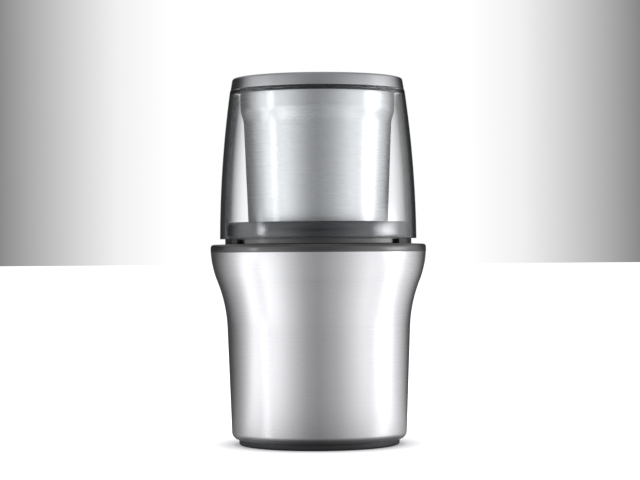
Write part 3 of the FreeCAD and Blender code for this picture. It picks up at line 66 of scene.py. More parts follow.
class Socket:
    """A value in a shader, on which Python's own sums add Math nodes."""

    def __init__(self, graph: "Graph", link: bpy.types.NodeSocket) -> None:
        """Wraps one output socket.

        Args:
            graph: The shader's nodes.
            link: The output socket.
        """
        self.graph = graph
        self.link = link

    def _sum(self, operation: str, *values: object) -> "Socket":
        """Adds one Math node.

        Args:
            operation: The Math node's operation.
            values: Its inputs, in order.

        Returns:
            The node's result.
        """
        return self.graph.add("ShaderNodeMath", {"operation": operation}, dict(enumerate(values)))

    def __add__(self, other: object) -> "Socket":
        """This value and another, added."""
        return self._sum("ADD", self, other)

    __radd__ = __add__

    def __mul__(self, other: object) -> "Socket":
        """This value times another."""
        return self._sum("MULTIPLY", self, other)

    __rmul__ = __mul__

    def __sub__(self, other: object) -> "Socket":
        """This value less another."""
        return self._sum("SUBTRACT", self, other)

    def __rsub__(self, other: object) -> "Socket":
        """Another value less this one."""
        return self._sum("SUBTRACT", other, self)

    def __truediv__(self, other: object) -> "Socket":
        """This value divided by another."""
        return self._sum("DIVIDE", self, other)

    def __pow__(self, other: object) -> "Socket":
        """This value raised to a power."""
        return self._sum("POWER", self, other)

    def __neg__(self) -> "Socket":
        """This value with its sign turned round."""
        return self._sum("MULTIPLY", self, -1.0)

    def sine(self) -> "Socket":
        """The sine of this value."""
        return self._sum("SINE", self)

    def root(self) -> "Socket":
        """The square root of this value."""
        return self._sum("SQRT", self)

    def heading(self, other: object) -> "Socket":
        """The angle whose tangent is this value over another."""
        return self._sum("ARCTAN2", self, other)

    def at_least(self, other: object) -> "Socket":
        """The larger of this value and another."""
        return self._sum("MAXIMUM", self, other)

    def at_most(self, other: object) -> "Socket":
        """The smaller of this value and another."""
        return self._sum("MINIMUM", self, other)


class Graph:
    """The nodes of one material or world."""

    def __init__(self, tree: bpy.types.NodeTree) -> None:
        """Empties a node tree and takes it over.

        Args:
            tree: The tree to fill.
        """
        self.tree = tree
        tree.nodes.clear()

    def add(self, kind: str, settings: dict[str, object] | None = None,
            inputs: dict[object, object] | None = None, output: str | int = 0) -> Socket:
        """Adds one node of any type.

        Args:
            kind: The node's type.
            settings: Its own settings, which are set first.
            inputs: The values or links of its sockets.
            output: Which of its outputs is returned.

        Returns:
            The chosen output.
        """
        node = self.tree.nodes.new(kind)
        for name, value in (settings or {}).items():
            if name == "stops":
                self._set_stops(node.color_ramp, value)
            else:
                setattr(node, name, value)
        for name, value in (inputs or {}).items():
            if isinstance(value, Socket):
                self.tree.links.new(value.link, node.inputs[name])
            else:
                node.inputs[name].default_value = value
        return Socket(self, node.outputs[output]) if node.outputs else Socket(self, None)

    @staticmethod
    def _set_stops(ramp: bpy.types.ColorRamp, stops: Sequence[tuple[float, Colour]]) -> None:
        """Fills a ramp.

        Args:
            ramp: The ramp.
            stops: The place and colour of each stop.
        """
        while len(ramp.elements) > 1:
            ramp.elements.remove(ramp.elements[-1])
        ramp.elements[0].position = stops[0][0]
        ramp.elements[0].color = (*stops[0][1], 1.0)
        for place, colour in stops[1:]:
            ramp.elements.new(place).color = (*colour, 1.0)

    def place(self) -> tuple[Socket, Socket, Socket, Socket]:
        """The point on the piece, in metres.

        Returns:
            The point, and its three numbers.
        """
        point = self.add("ShaderNodeTexCoord", output="Object")
        return (point, *self.split(point))

    def split(self, vector: Socket) -> tuple[Socket, Socket, Socket]:
        """The three numbers of a vector."""
        parts = self.tree.nodes.new("ShaderNodeSeparateXYZ")
        self.tree.links.new(vector.link, parts.inputs[0])
        return tuple(Socket(self, parts.outputs[axis]) for axis in range(3))

    def vector(self, x: object, y: object, z: object) -> Socket:
        """Three numbers as one vector."""
        return self.add("ShaderNodeCombineXYZ", inputs={0: x, 1: y, 2: z})

    def noise(self, vector: Socket, scale: float, detail: float = 2.0, rough: float = 0.5) -> Socket:
        """A cloudy pattern from 0 to 1."""
        return self.add("ShaderNodeTexNoise",
                        inputs={"Vector": vector, "Scale": scale, "Detail": detail, "Roughness": rough})

    def blend(self, factor: object, low: object, high: object) -> Socket:
        """Two colours mixed by a factor.

        Args:
            factor: From 0, all low, to 1, all high.
            low: A colour or a link.
            high: A colour or a link.

        Returns:
            The mixed colour.
        """
        def full(colour: object) -> object:
            return colour if isinstance(colour, Socket) else (*colour, 1.0)
        return self.add("ShaderNodeMix", {"data_type": "RGBA"}, {0: factor, 6: full(low), 7: full(high)}, 2)

    def bump(self, height: Socket, depth: float, strength: float = 1.0) -> Socket:
        """A relief, as a normal.

        Args:
            height: The relief, from 0 to 1.
            depth: Its full height in metres.
            strength: How much of it shows.

        Returns:
            The normal.
        """
        return self.add("ShaderNodeBump", inputs={"Height": height, "Distance": depth, "Strength": strength})

    def finish(self, sockets: dict[object, object]) -> None:
        """Adds the surface shader and the material's output.

        Args:
            sockets: The values and links of the surface shader.
        """
        surface = self.add("ShaderNodeBsdfPrincipled", inputs=sockets)
        self.add("ShaderNodeOutputMaterial", inputs={"Surface": surface})


class Finish:
    """What all finishes share: they make one material, once."""

    name: str
    made: ClassVar[dict[str, bpy.types.Material]] = {}

    def paint(self, graph: Graph) -> None:
        """Adds the finish's nodes."""
        raise NotImplementedError

    def material(self) -> bpy.types.Material:
        """Makes the material, or finds it again.

        Returns:
            The material.
        """
        if self.name not in Finish.made:
            material = bpy.data.materials.new(self.name)
            material.use_nodes = True
            self.paint(Graph(material.node_tree))
            Finish.made[self.name] = material
        return Finish.made[self.name]


@dataclass(frozen=True)
class BrushedSteel(Finish):
    """Steel with fine brushed lines."""

    name: str
    colour: Colour = (0.60, 0.60, 0.62)
    roughness: float = 0.28
    spread: float = 0.8
    brushing: Brushing = Brushing.AROUND
    line: float = 0.3 * MM
    relief: float = 0.002 * MM

    def paint(self, graph: Graph) -> None:
        """Adds long thin lines in the colour, gloss and relief."""
        _, x, y, z = graph.place()
        across = z if self.brushing is Brushing.AROUND else (x * x + y * y).root()
        along = graph.vector(x * 9.0, y * 9.0, across / self.line)
        fine = graph.noise(along, 1.0, 3.0, 0.6)
        broad = graph.noise(graph.vector(x * 4.0, y * 4.0, across / (self.line * 6.0)), 1.0, 2.0, 0.5)
        cloud = graph.noise(graph.vector(x, y, z), 28.0, 2.0)
        line = fine * 0.78 + broad * 0.22
        dark = tuple(part * 0.93 for part in self.colour)
        light = tuple(min(1.0, part * 1.07) for part in self.colour)
        graph.finish({
            "Base Color": graph.blend(line, dark, light),
            "Metallic": 1.0,
            "Roughness": self.roughness + (line - 0.5) * 0.07 + (cloud - 0.5) * 0.04,
            "Anisotropic": self.spread,
            "Anisotropic Rotation": 0.25,
            "Normal": graph.bump(line, self.relief),
        })


@dataclass(frozen=True)
class Moulded(Finish):
    """Plastic or rubber from a mould, with a fine grain."""

    name: str
    colour: Colour
    roughness: float = 0.5
    grain: float = 0.25 * MM
    relief: float = 0.003 * MM
    mottle: float = 0.08
    coat: float = 0.0
    specular: float = 0.5

    def paint(self, graph: Graph) -> None:
        """Adds the grain and a slight unevenness of colour and gloss."""
        point, _, _, _ = graph.place()
        grain = graph.noise(point, 1.0 / self.grain, 2.0, 0.6)
        cloud = graph.noise(point, 60.0, 3.0)
        dark = tuple(part * (1.0 - self.mottle) for part in self.colour)
        light = tuple(min(1.0, part * (1.0 + self.mottle)) for part in self.colour)
        graph.finish({
            "Base Color": graph.blend(cloud * 0.6 + grain * 0.4, dark, light),
            "Roughness": self.roughness + (cloud - 0.5) * 0.08 + (grain - 0.5) * 0.06,
            "Coat Weight": self.coat,
            "Specular IOR Level": self.specular,
            "Normal": graph.bump(grain, self.relief),
        })


@dataclass(frozen=True)
class ClearPlastic(Finish):
    """Clear plastic with a slight tint, faint marks of use, and painted shade where its wall is seen edge-on.
    """

    name: str
    tint: Colour = (0.955, 0.965, 0.975)
    # painted shade: edge is the dark colour that the wall turns to where it is seen edge-on, standing in for
    # dark surroundings
    edge: Colour = (0.09, 0.11, 0.13)
    edge_shade_start: float = 0.74
    edge_shade_blend: float = 0.10
    refraction: float = 1.49
    roughness: float = 0.012
    mirror: Colour = (0.50, 0.52, 0.55)

    def paint(self, graph: Graph) -> None:
        """Adds a clear body, with painted shade that darkens it where its wall is seen along its length."""
        point, _, _, _ = graph.place()
        haze = graph.noise(point, 35.0, 3.0)
        clear = graph.blend(haze, self.tint, tuple(min(1.0, part * 1.02) for part in self.tint))
        slant = graph.add("ShaderNodeLayerWeight", inputs={"Blend": 0.5}, output="Facing")
        # painted shade: the base colour turns from clear to the edge colour as the wall turns edge-on to the
        # view
        along = ((slant - self.edge_shade_start) / self.edge_shade_blend).at_least(0.0).at_most(1.0)
        graph.finish({
            "Base Color": graph.blend(along, clear, self.edge),
            "Roughness": self.roughness + haze * 0.012,
            "IOR": self.refraction,
            "Specular Tint": (*self.mirror, 1.0),
            "Transmission Weight": 1.0,
        })


@dataclass(frozen=True)
class Banded(Finish):
    """A wound or stacked surface: fine bands, one beside the other."""

    name: str
    colour: Colour
    band: float
    metallic: float = 1.0
    roughness: float = 0.35
    upright: bool = False

    def paint(self, graph: Graph) -> None:
        """Adds the bands as relief, with darker joins between them."""
        point, x, _, z = graph.place()
        across = x if self.upright else z
        wave = (across * (2.0 * math.pi / self.band)).sine() * 0.5 + 0.5
        cloud = graph.noise(point, 220.0, 3.0)
        dark = tuple(part * 0.45 for part in self.colour)
        graph.finish({
            "Base Color": graph.blend(wave ** 0.5 * 0.85 + cloud * 0.15, dark, self.colour),
            "Metallic": self.metallic,
            "Roughness": self.roughness + (cloud - 0.5) * 0.1,
            "Normal": graph.bump(wave, self.band * 0.3),
        })


@dataclass(frozen=True)
class PlainMetal(Finish):
    """Metal from the press or the lathe, a little uneven."""

    name: str
    colour: Colour
    roughness: float = 0.3

    def paint(self, graph: Graph) -> None:
        """Adds faint tool marks and stains."""
        point, _, _, _ = graph.place()
        mark = graph.noise(point, 900.0, 3.0, 0.6)
        cloud = graph.noise(point, 90.0, 3.0)
        dark = tuple(part * 0.8 for part in self.colour)
        graph.finish({
            "Base Color": graph.blend(cloud, dark, self.colour),
            "Metallic": 1.0,
            "Roughness": self.roughness + (cloud - 0.5) * 0.15 + (mark - 0.5) * 0.08,
            "Normal": graph.bump(mark, 0.01 * MM),
        })


SHELL_STEEL = BrushedSteel("shell_brushed")
CAP_STEEL = BrushedSteel("cap_top_brushed", colour=(0.46, 0.465, 0.48), brushing=Brushing.RINGS)
CAP_SIDE_STEEL = BrushedSteel("cap_side_brushed", colour=(0.42, 0.425, 0.44), roughness=0.24)
BOWL_STEEL = BrushedSteel("bowl_brushed", colour=(0.64, 0.65, 0.66), line=0.22 * MM, relief=0.0007 * MM)
BLADE_STEEL = PlainMetal("blade_ground", (0.66, 0.66, 0.68), 0.2)
DECK_PLASTIC = Moulded("deck_satin", (0.014, 0.014, 0.016), 0.25, relief=0.0008 * MM, coat=0.3, specular=1.0)
COLLAR_PLASTIC = Moulded("collar_gloss", (0.003, 0.006, 0.012), 0.08, relief=0.0002 * MM, specular=0.8)
BLACK_PLASTIC = Moulded("moulded_black", (0.018, 0.018, 0.020), 0.38)
HOUSING_PLASTIC = Moulded("moulded_grey", (0.10, 0.10, 0.11), 0.5)
FOOT_RUBBER = Moulded("foot_matt", (0.036, 0.039, 0.043), 0.42, grain=0.4 * MM, relief=0.004 * MM)
SEAL_RUBBER = Moulded("seal_matt", (0.012, 0.012, 0.014), 0.6)
NYLON = Moulded("nylon", (0.70, 0.68, 0.62), 0.4)
CERAMIC = Moulded("ceramic", (0.80, 0.78, 0.74), 0.25)
CARBON = Moulded("pressed_carbon", (0.03, 0.03, 0.03), 0.55)
COVER_PLASTIC = ClearPlastic("cover_plastic")
STACK_STEEL = Banded("stack_steel", (0.38, 0.38, 0.40), 0.5 * MM)
COIL_COPPER = Banded("coil_copper", (0.72, 0.30, 0.12), 0.6 * MM, 0.9, 0.3)
SEGMENT_COPPER = Banded("segment_copper", (0.78, 0.42, 0.22), 1.4 * MM, upright=True)
SPRING_WIRE = Banded("spring_wire", (0.55, 0.55, 0.57), 1.1 * MM)
BRONZE = PlainMetal("bronze", (0.62, 0.42, 0.22), 0.35)
ZINC = PlainMetal("zinc", (0.55, 0.55, 0.58), 0.32)
PRESSED_STEEL = PlainMetal("pressed_steel", (0.50, 0.50, 0.52), 0.38)

NODE_FINISHES: dict[Finish, tuple[str, ...]] = {
    SHELL_STEEL: ("outer_shell",),
    CAP_STEEL: ("lid_cap",),
    BOWL_STEEL: ("bowl_cup",),
    BLADE_STEEL: ("blade", "blade_shaft", "blade_washer", "blade_nut"),
    DECK_PLASTIC: ("top_deck", "base_cup"),
    COLLAR_PLASTIC: ("bowl_collar",),
    BLACK_PLASTIC: ("press_ring", "cap_liner", "inner_cover", "microswitch", "brush_holders",
                    "terminal_block", "cord_clamp", "cooling_fan", "switch_plunger"),
    HOUSING_PLASTIC: ("inner_housing",),
    FOOT_RUBBER: ("foot_ring",),
    SEAL_RUBBER: ("bowl_gasket", "blade_seal", "shaft_seal", "motor_mounts", "cord_gland"),
    NYLON: ("drive_coupling", "driven_coupling"),
    CERAMIC: ("thermal_fuse",),
    CARBON: ("carbon_brushes",),
    COVER_PLASTIC: ("clear_cover",),
    STACK_STEEL: ("field_core", "armature_core"),
    COIL_COPPER: ("field_coils", "armature_windings"),
    SEGMENT_COPPER: ("commutator",),
    SPRING_WIRE: ("brush_springs", "press_springs", "lid_springs"),
    BRONZE: ("upper_bearing", "lower_bearing", "blade_bearing"),
    ZINC: ("motor_bolts", "motor_nuts", "clamp_screws", "base_screws", "deck_screws", "stud_nuts"),
    PRESSED_STEEL: ("upper_bracket", "lower_bracket", "motor_shaft", "switch_lever"),
}


def heights(node: str) -> Point:
    """The lowest and highest point of a CAD node, in millimetres."""
    low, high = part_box(node)
    return low.z / MM, high.z / MM


def radius_of(node: str) -> float:
    """How far a CAD node reaches from the axis, in millimetres."""
    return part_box(node)[1].x / MM


def arc(start: Point, via: Point, end: Point, steps: int) -> list[Point]:
    """Points along the arc through three points.

    Args:
        start: Where it starts.
        via: A point that it passes.
        end: Where it ends.
        steps: How many stretches it is cut into.

    Returns:
        The points, from start to end.
    """
    (ax, ay), (bx, by), (cx, cy) = start, via, end
    scale = 2.0 * (ax * (by - cy) + bx * (cy - ay) + cx * (ay - by))
    aa, bb, cc = ax * ax + ay * ay, bx * bx + by * by, cx * cx + cy * cy
    mx = (aa * (by - cy) + bb * (cy - ay) + cc * (ay - by)) / scale
    my = (aa * (cx - bx) + bb * (ax - cx) + cc * (bx - ax)) / scale
    reach = math.hypot(ax - mx, ay - my)
    first = math.atan2(ay - my, ax - mx)
    middle = (math.atan2(by - my, bx - mx) - first) % math.tau
    sweep = (math.atan2(cy - my, cx - mx) - first) % math.tau
    sweep = sweep if middle < sweep else sweep - math.tau
    return [(mx + reach * math.cos(first + sweep * step / steps),
             my + reach * math.sin(first + sweep * step / steps)) for step in range(steps + 1)]


def softened(points: Sequence[tuple[float, ...]], steps: int = 6) -> list[Point]:
    """An outline whose corners are rounded where a point has a third number.

    Args:
        points: Radius and height, and how far before and after the corner its rounding starts.
        steps: How many stretches a rounding has.

    Returns:
        The outline's points.
    """
    made: list[Point] = []
    for place, point in enumerate(points):
        if len(point) == 2:
            made.append((point[0], point[1]))
            continue
        tip = Vector(point[:2])
        before = Vector(points[place - 1][:2])
        after = Vector(points[(place + 1) % len(points)][:2])
        one = tip + (before - tip).normalized() * point[2]
        two = tip + (after - tip).normalized() * point[2]
        for step in range(steps + 1):
            share = step / steps
            spot = one.lerp(tip, share).lerp(tip.lerp(two, share), share)
            made.append((spot.x, spot.y))
    return made


class Bench:
    """The modelling moves that the sub-assemblies share; their sizes are in millimetres."""

    @staticmethod
    def clear() -> None:
        """Selects nothing."""
        bpy.ops.object.select_all(action="DESELECT")

    @staticmethod
    def take(made: bpy.types.Object) -> None:
        """Selects one piece alone."""
        Bench.clear()
        bpy.context.view_layer.objects.active = made
        made.select_set(True)

    @staticmethod
    def settle(made: bpy.types.Object) -> None:
        """Puts a piece's place, turn and size into its mesh."""
        Bench.take(made)
        bpy.ops.object.transform_apply(location=True, rotation=True, scale=True)

    @staticmethod
    def smooth(made: bpy.types.Object, angle: float = 32.0) -> None:
        """Shades a piece smooth except at its sharp edges."""
        Bench.take(made)
        bpy.ops.object.shade_smooth_by_angle(angle=math.radians(angle))

    @staticmethod
    def turned(name: str, outline: Sequence[Point], segments: int = 160,
               sharp: float = 32.0) -> bpy.types.Object:
        """Draws a ring of edges up through an outline, as on a lathe.

        Args:
            name: The piece's name.
            outline: Radius and height of each point; it closes on itself, or starts and ends on
                the axis.
            segments: How many faces go round.
            sharp: Edges sharper than this stay sharp, in degrees.

        Returns:
            The piece.
        """
        thin = 1e-4
        points = [(max(radius, thin), height) for radius, height in outline]
        closed = outline[0][0] > thin or outline[-1][0] > thin
        Bench.clear()
        bpy.ops.mesh.primitive_circle_add(vertices=segments, radius=points[0][0] * MM)
        made = bpy.context.object
        made.location.z = points[0][1] * MM
        Bench.settle(made)
        bpy.ops.object.mode_set(mode="EDIT")
        bpy.ops.mesh.select_mode(type="EDGE")
        bpy.ops.mesh.select_all(action="SELECT")
        for before, after in zip(points, points[1:] + (points[:1] if closed else [])):
            bpy.ops.mesh.extrude_region_move(
                TRANSFORM_OT_translate={"value": (0.0, 0.0, (after[1] - before[1]) * MM)})
            share = after[0] / before[0]
            bpy.ops.transform.resize(value=(share, share, 1.0), center_override=(0.0, 0.0, after[1] * MM))
        bpy.ops.mesh.select_all(action="SELECT")
        bpy.ops.mesh.remove_doubles(threshold=0.002 * MM)
        bpy.ops.mesh.normals_make_consistent(inside=False)
        bpy.ops.object.mode_set(mode="OBJECT")
        made.name = name
        Bench.smooth(made, sharp)
        return made

    @staticmethod
    def rod(radius: float, bottom: float, top: float, across: float = 0.0, away: float = 0.0,
            segments: int = 32) -> bpy.types.Object:
        """Adds an upright round bar, to be joined on or cut out."""
        Bench.clear()
        bpy.ops.mesh.primitive_cylinder_add(vertices=segments, radius=radius * MM, depth=(top - bottom) * MM)
        made = bpy.context.object
        made.location = Vector((across, away, (bottom + top) / 2.0)) * MM
        Bench.settle(made)
        return made

    @staticmethod
    def block(inner: float, outer: float, width: float, bottom: float, top: float,
              angle: float = 0.0) -> bpy.types.Object:
        """Adds a block that points away from the axis, to be joined on or cut out."""
        Bench.clear()
        bpy.ops.mesh.primitive_cube_add(size=1.0)
        made = bpy.context.object
        made.scale = Vector((outer - inner, width, top - bottom)) * MM
        made.location = Vector(((outer + inner) / 2.0, 0.0, (bottom + top) / 2.0)) * MM
        Bench.settle(made)
        made.rotation_euler.z = math.radians(angle)
        Bench.settle(made)
        return made

    @staticmethod
    def bevel(made: bpy.types.Object, width: float, segments: int = 3, sharp: float = 40.0) -> None:
        """Rounds the sharp edges of a piece."""
        Bench.take(made)
        modifier = made.modifiers.new("bevel", "BEVEL")
        modifier.width = width * MM
        modifier.segments = segments
        modifier.angle_limit = math.radians(sharp)
        bpy.ops.object.modifier_apply(modifier=modifier.name)

    @staticmethod
    def combine(target: bpy.types.Object, tools: Sequence[bpy.types.Object], operation: str) -> None:
        """Joins blocks to a piece or cuts them out of it, and throws them away.

        Args:
            target: The piece.
            tools: The blocks.
            operation: UNION or DIFFERENCE.
        """
        for tool in tools:
            Bench.take(target)
            modifier = target.modifiers.new("combine", "BOOLEAN")
            modifier.operation = operation
            modifier.object = tool
            modifier.solver = "EXACT"
            bpy.ops.object.modifier_apply(modifier=modifier.name)
            bpy.data.objects.remove(tool)
        Bench.smooth(target)


def fit(made: bpy.types.Object, body: str, finish: Finish, slot: str, *nodes: str) -> bpy.types.Object:
    """Gives a piece its body, finish and the nodes that it stands for.

    Args:
        made: The piece.
        body: The body that carries it.
        finish: Its finish.
        slot: The record's material slot; not used.
        nodes: The CAD nodes that it replaces.

    Returns:
        The piece.
    """
    made.data.materials.clear()
    made.data.materials.append(finish.material())
    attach(made, body)
    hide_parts(*nodes)
    LOG.info("%s: %d faces", made.name, len(made.data.polygons))
    return made


@dataclass
class MotorBase:
    """The steel skin, the dark deck over it, the foot below and the inlet for the cord."""

    wall: float = 0.8
    base_radius: float = 49.1
    base_round: float = 4.4
    waist_radius: float = 51.3
    waist: float = 66.0
    flare_radius: float = 57.4
    flare: float = 93.1
    hollow: float = 1.25
    swell: float = 0.55
    hem_radius: float = 45.5
    neck_radius: float = 52.3
    neck_wall: float = 2.3
    neck_height: float = 3.6
    deck_plate: float = 2.2
    rim_round: float = 2.1
    edge: float = 0.5
    skirt_depth: float = 5.7
    skirt_inset: float = 2.2
    skirt_wall: float = 2.0
    post_angle: float = 56.6
    slot_width: float = 6.3
    slot_depth: float = 3.1
    key_width: float = 3.0
    key_start: float = 42.5
    key_height: float = 4.5
    key_count: int = 4
    boss_circle: float = 42.5
    boss_radius: float = 3.5
    foot_width: float = 3.4
    cord_height: float = 27.0
    gland_radius: float = 5.2
    cord_radius: float = 3.5

    def side(self, inset: float) -> list[Point]:
        """The curve of the skin, from its hem to its top.

        Args:
            inset: How far inside the outer face it lies.

        Returns:
            Its points.
        """
        hem, shell_top = heights("outer_shell")
        bow = 1.0 - math.sqrt(0.5)
        low = (self.base_radius - inset, hem + self.base_round)
        waist = (self.waist_radius - inset, self.waist)
        flare = (self.flare_radius - inset, self.flare)
        top = (radius_of("outer_shell") - inset, shell_top)
        foot = arc((self.hem_radius, hem + inset),
                   (low[0] - (low[0] - self.hem_radius) * bow, hem + inset + (self.base_round - inset) * bow),
                   low, 10)
        middle = arc(waist, ((waist[0] + flare[0]) / 2 - self.hollow, (waist[1] + flare[1]) / 2), flare, 18)
        high = arc(flare, ((flare[0] + top[0]) / 2 + self.swell, (flare[1] + top[1]) / 2), top, 10)
        straight = [(low[0] + (waist[0] - low[0]) * step / 8, low[1] + (waist[1] - low[1]) * step / 8)
                    for step in range(1, 8)]
        return foot + straight + middle + high[1:]

    def build_skin(self) -> None:
        """The brushed steel skin, with its hole for the cord."""
        skin = Bench.turned("steel_skin", self.side(0.0) + self.side(self.wall)[::-1], 192)
        hole = Bench.rod(self.gland_radius + 0.05, self.base_radius / 2, self.base_radius * 1.5, segments=48)
        hole.rotation_euler.x = -math.pi / 2
        hole.location.z = self.cord_height * MM
        Bench.settle(hole)
        Bench.combine(skin, [hole], "DIFFERENCE")
        fit(skin, "base", SHELL_STEEL, "brushed_shell", "outer_shell")

    def build_deck(self) -> None:
        """The dark ring over the skin, with its neck, its well and the keys in it."""
        boss_bottom, neck_top = heights("top_deck")
        well_bottom, well_top = heights("shaft_seal")
        shell_top = heights("outer_shell")[1]
        rim = radius_of("top_deck")
        deck_top = neck_top - self.neck_height
        skirt = rim - self.skirt_inset
        inner = self.neck_radius - self.neck_wall
        deck = Bench.turned("deck_ring", softened([
            (radius_of("shaft_seal"), well_bottom),
            (self.neck_radius, well_bottom),
            (self.neck_radius, deck_top - self.deck_plate),
            (skirt - self.skirt_wall, deck_top - self.deck_plate),
            (skirt - self.skirt_wall, shell_top - self.skirt_depth, self.edge),
            (skirt, shell_top - self.skirt_depth, self.edge),
            (skirt, shell_top),
            (rim, shell_top, self.edge * 0.4),
            (rim, deck_top, self.rim_round),
            (self.neck_radius, deck_top, self.edge),
            (self.neck_radius, neck_top, self.edge),
            (inner, neck_top, self.edge),
            (inner, well_top, self.edge * 3),
            (radius_of("shaft_seal"), well_top),
        ]), 192)
        keys = [Bench.block(self.key_start, inner + self.neck_wall / 2, self.key_width, well_top - 1.0,
                            well_top + self.key_height, 360.0 * turn / self.key_count)
                for turn in range(self.key_count)]
        for key in keys:
            Bench.bevel(key, self.edge)
        bosses = [Bench.rod(self.boss_radius, boss_bottom, well_bottom + 1.0,
                            self.boss_circle * math.cos(math.radians(angle)),
                            self.boss_circle * math.sin(math.radians(angle))) for angle in (45, 135, 225, 315)]
        slots = [Bench.block(self.neck_radius, self.neck_radius + self.slot_depth, self.slot_width,
                             deck_top - self.deck_plate * 1.5, deck_top + self.neck_height / 2, angle)
                 for angle in self.post_angles()]
        Bench.combine(deck, keys + bosses, "UNION")
        Bench.combine(deck, slots, "DIFFERENCE")
        fit(deck, "base", DECK_PLASTIC, "deck_plastic", "top_deck")

    def post_angles(self) -> list[float]:
        """Where the four posts of the press ring stand."""
        return [base + side * self.post_angle for base in (FRONT, BACK) for side in (-1.0, 1.0)]

    def build_foot(self) -> None:
        """The rubber ring that it stands on."""
        bottom, top = heights("foot_ring")
        outer = radius_of("foot_ring")
        foot = Bench.turned("rubber_foot", softened([
            (outer - self.foot_width, bottom, self.edge * 2),
            (outer, bottom, self.edge * 2),
            (outer, top, self.edge * 0.6),
            (outer - self.foot_width, top, self.edge * 0.6),
        ]), 160)
        fit(foot, "base", FOOT_RUBBER, "foot_rubber", "foot_ring")

    def build_gland(self) -> None:
        """The bush for the cord, low at the back."""
        low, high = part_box("cord_gland")
        start, end = low.y / MM, high.y / MM
        flange = (high.x - low.x) / 2 / MM
        flange_start = end - 1.6
        gland = Bench.turned("cord_bush", softened([
            (self.cord_radius, start),
            (flange - self.edge, start, self.edge),
            (flange - self.edge, start + 2.4, self.edge),
            (self.gland_radius, start + 2.4),
            (self.gland_radius, flange_start),
            (flange, flange_start, self.edge * 0.4),
            (flange, end, self.edge * 1.4),
            (self.cord_radius + self.edge, end),
            (self.cord_radius, end - self.edge),
        ]), 64)
        gland.rotation_euler.x = -math.pi / 2
        gland.location.z = self.cord_height * MM
        Bench.settle(gland)
        fit(gland, "base", SEAL_RUBBER, "seal_rubber", "cord_gland")

    def build(self) -> None:
        """All new pieces of the base."""
        self.build_skin()
        self.build_deck()
        self.build_foot()
        self.build_gland()


@dataclass
class Bowl:
    """The steel grinding bowl and its glossy black foot."""

    wall: float = 0.9
    base_radius: float = 39.0
    base_round: float = 3.0
    shoulder_radius: float = 41.5
    shoulder_drop: float = 4.7
    rim_band: float = 10.3
    bend: float = 2.2
    lip: float = 0.35
    bush_stand: float = 1.2
    stud_radius: float = 2.0
    stud_circle: float = 24.0
    foot_round: float = 1.6
    edge: float = 0.4
    seat_wall: float = 2.0
    skirt_inset: float = 1.7
    skirt_wall: float = 2.0
    skirt_length: float = 12.7
    crown: float = 2.2
    boss_radius: float = 8.0
    boss_length: float = 6.0
    key_slot: float = 3.8
    key_slot_height: float = 4.9
    key_count: int = 4

    def floor(self) -> float:
        """The height of the bowl's outer floor."""
        return heights("blade_bearing")[1] - self.bush_stand - self.wall

    def studs(self, extra: float, bottom: float, top: float) -> list[bpy.types.Object]:
        """Round bars where the three studs are.

        Args:
            extra: How much larger than a stud their radius is.
            bottom: Where they start.
            top: Where they end.

        Returns:
            The bars.
        """
        angles = [math.radians(angle) for angle in (90, 210, 330)]
        return [Bench.rod(self.stud_radius + extra, bottom, top, self.stud_circle * math.cos(angle),
                          self.stud_circle * math.sin(angle), 24) for angle in angles]

    def build_cup(self) -> None:
        """The bowl, with a rolled lip and a soft shoulder under its rim."""
        stud_bottom, rim = heights("bowl_cup")
        rim_radius = radius_of("bowl_cup")
        hole = radius_of("blade_bearing")
        floor = self.floor()
        band = rim - self.rim_band
        inner = floor + self.wall
        cup = Bench.turned("steel_bowl", softened([
            (hole, floor),
            (self.base_radius, floor, self.base_round),
            (self.shoulder_radius, band - self.shoulder_drop, self.bend),
            (rim_radius, band, self.bend),
            (rim_radius, rim, self.lip),
            (rim_radius - self.wall, rim, self.lip),
            (rim_radius - self.wall, band, self.bend),
            (self.shoulder_radius - self.wall, band - self.shoulder_drop, self.bend),
            (self.base_radius - self.wall, inner, self.base_round - self.wall / 2),
            (hole, inner),
        ], 8), 192)
        Bench.combine(cup, self.studs(0.0, stud_bottom, floor + self.wall / 2), "UNION")
        fit(cup, "bowl", BOWL_STEEL, "bowl_steel", "bowl_cup")

    def build_foot(self) -> None:
        """The glossy foot, hollow below, with slots for the keys of the well."""
        top = heights("bowl_collar")[1]
        bottom = heights("bowl_collar")[0]
        outer = radius_of("bowl_collar")
        hole = radius_of("blade_bearing")
        seat = self.base_radius + 0.05
        floor = self.floor() - 0.05
        skirt = outer - self.skirt_inset
        under = floor - self.crown
        foot = Bench.turned("bowl_foot", softened([
            (hole, floor),
            (seat, floor, self.base_round),
            (seat + 0.2, top, self.edge * 0.5),
            (outer, top, self.foot_round),
            (outer, bottom + self.skirt_length, self.edge),
            (skirt, bottom + self.skirt_length),
            (skirt, bottom, self.edge),
            (skirt - self.skirt_wall, bottom, self.edge),
            (skirt - self.skirt_wall, top - self.crown),
            (seat + self.seat_wall, top - self.crown),
            (seat + self.seat_wall, under, self.edge),
            (self.boss_radius, under, self.edge),
            (self.boss_radius, under - self.boss_length, self.edge),
            (hole, under - self.boss_length),
        ]), 192)
        slots = [Bench.block(skirt - 7.0, outer, self.key_slot, bottom - 1.0, bottom + self.key_slot_height,
                             360.0 * turn / self.key_count) for turn in range(self.key_count)]
        holes = self.studs(0.05, under - 1.0, floor + 1.0)
        Bench.combine(foot, slots + holes, "DIFFERENCE")
        fit(foot, "bowl", COLLAR_PLASTIC, "collar_plastic", "bowl_collar")

    def build(self) -> None:
        """All new pieces of the bowl."""
        self.build_cup()
        self.build_foot()


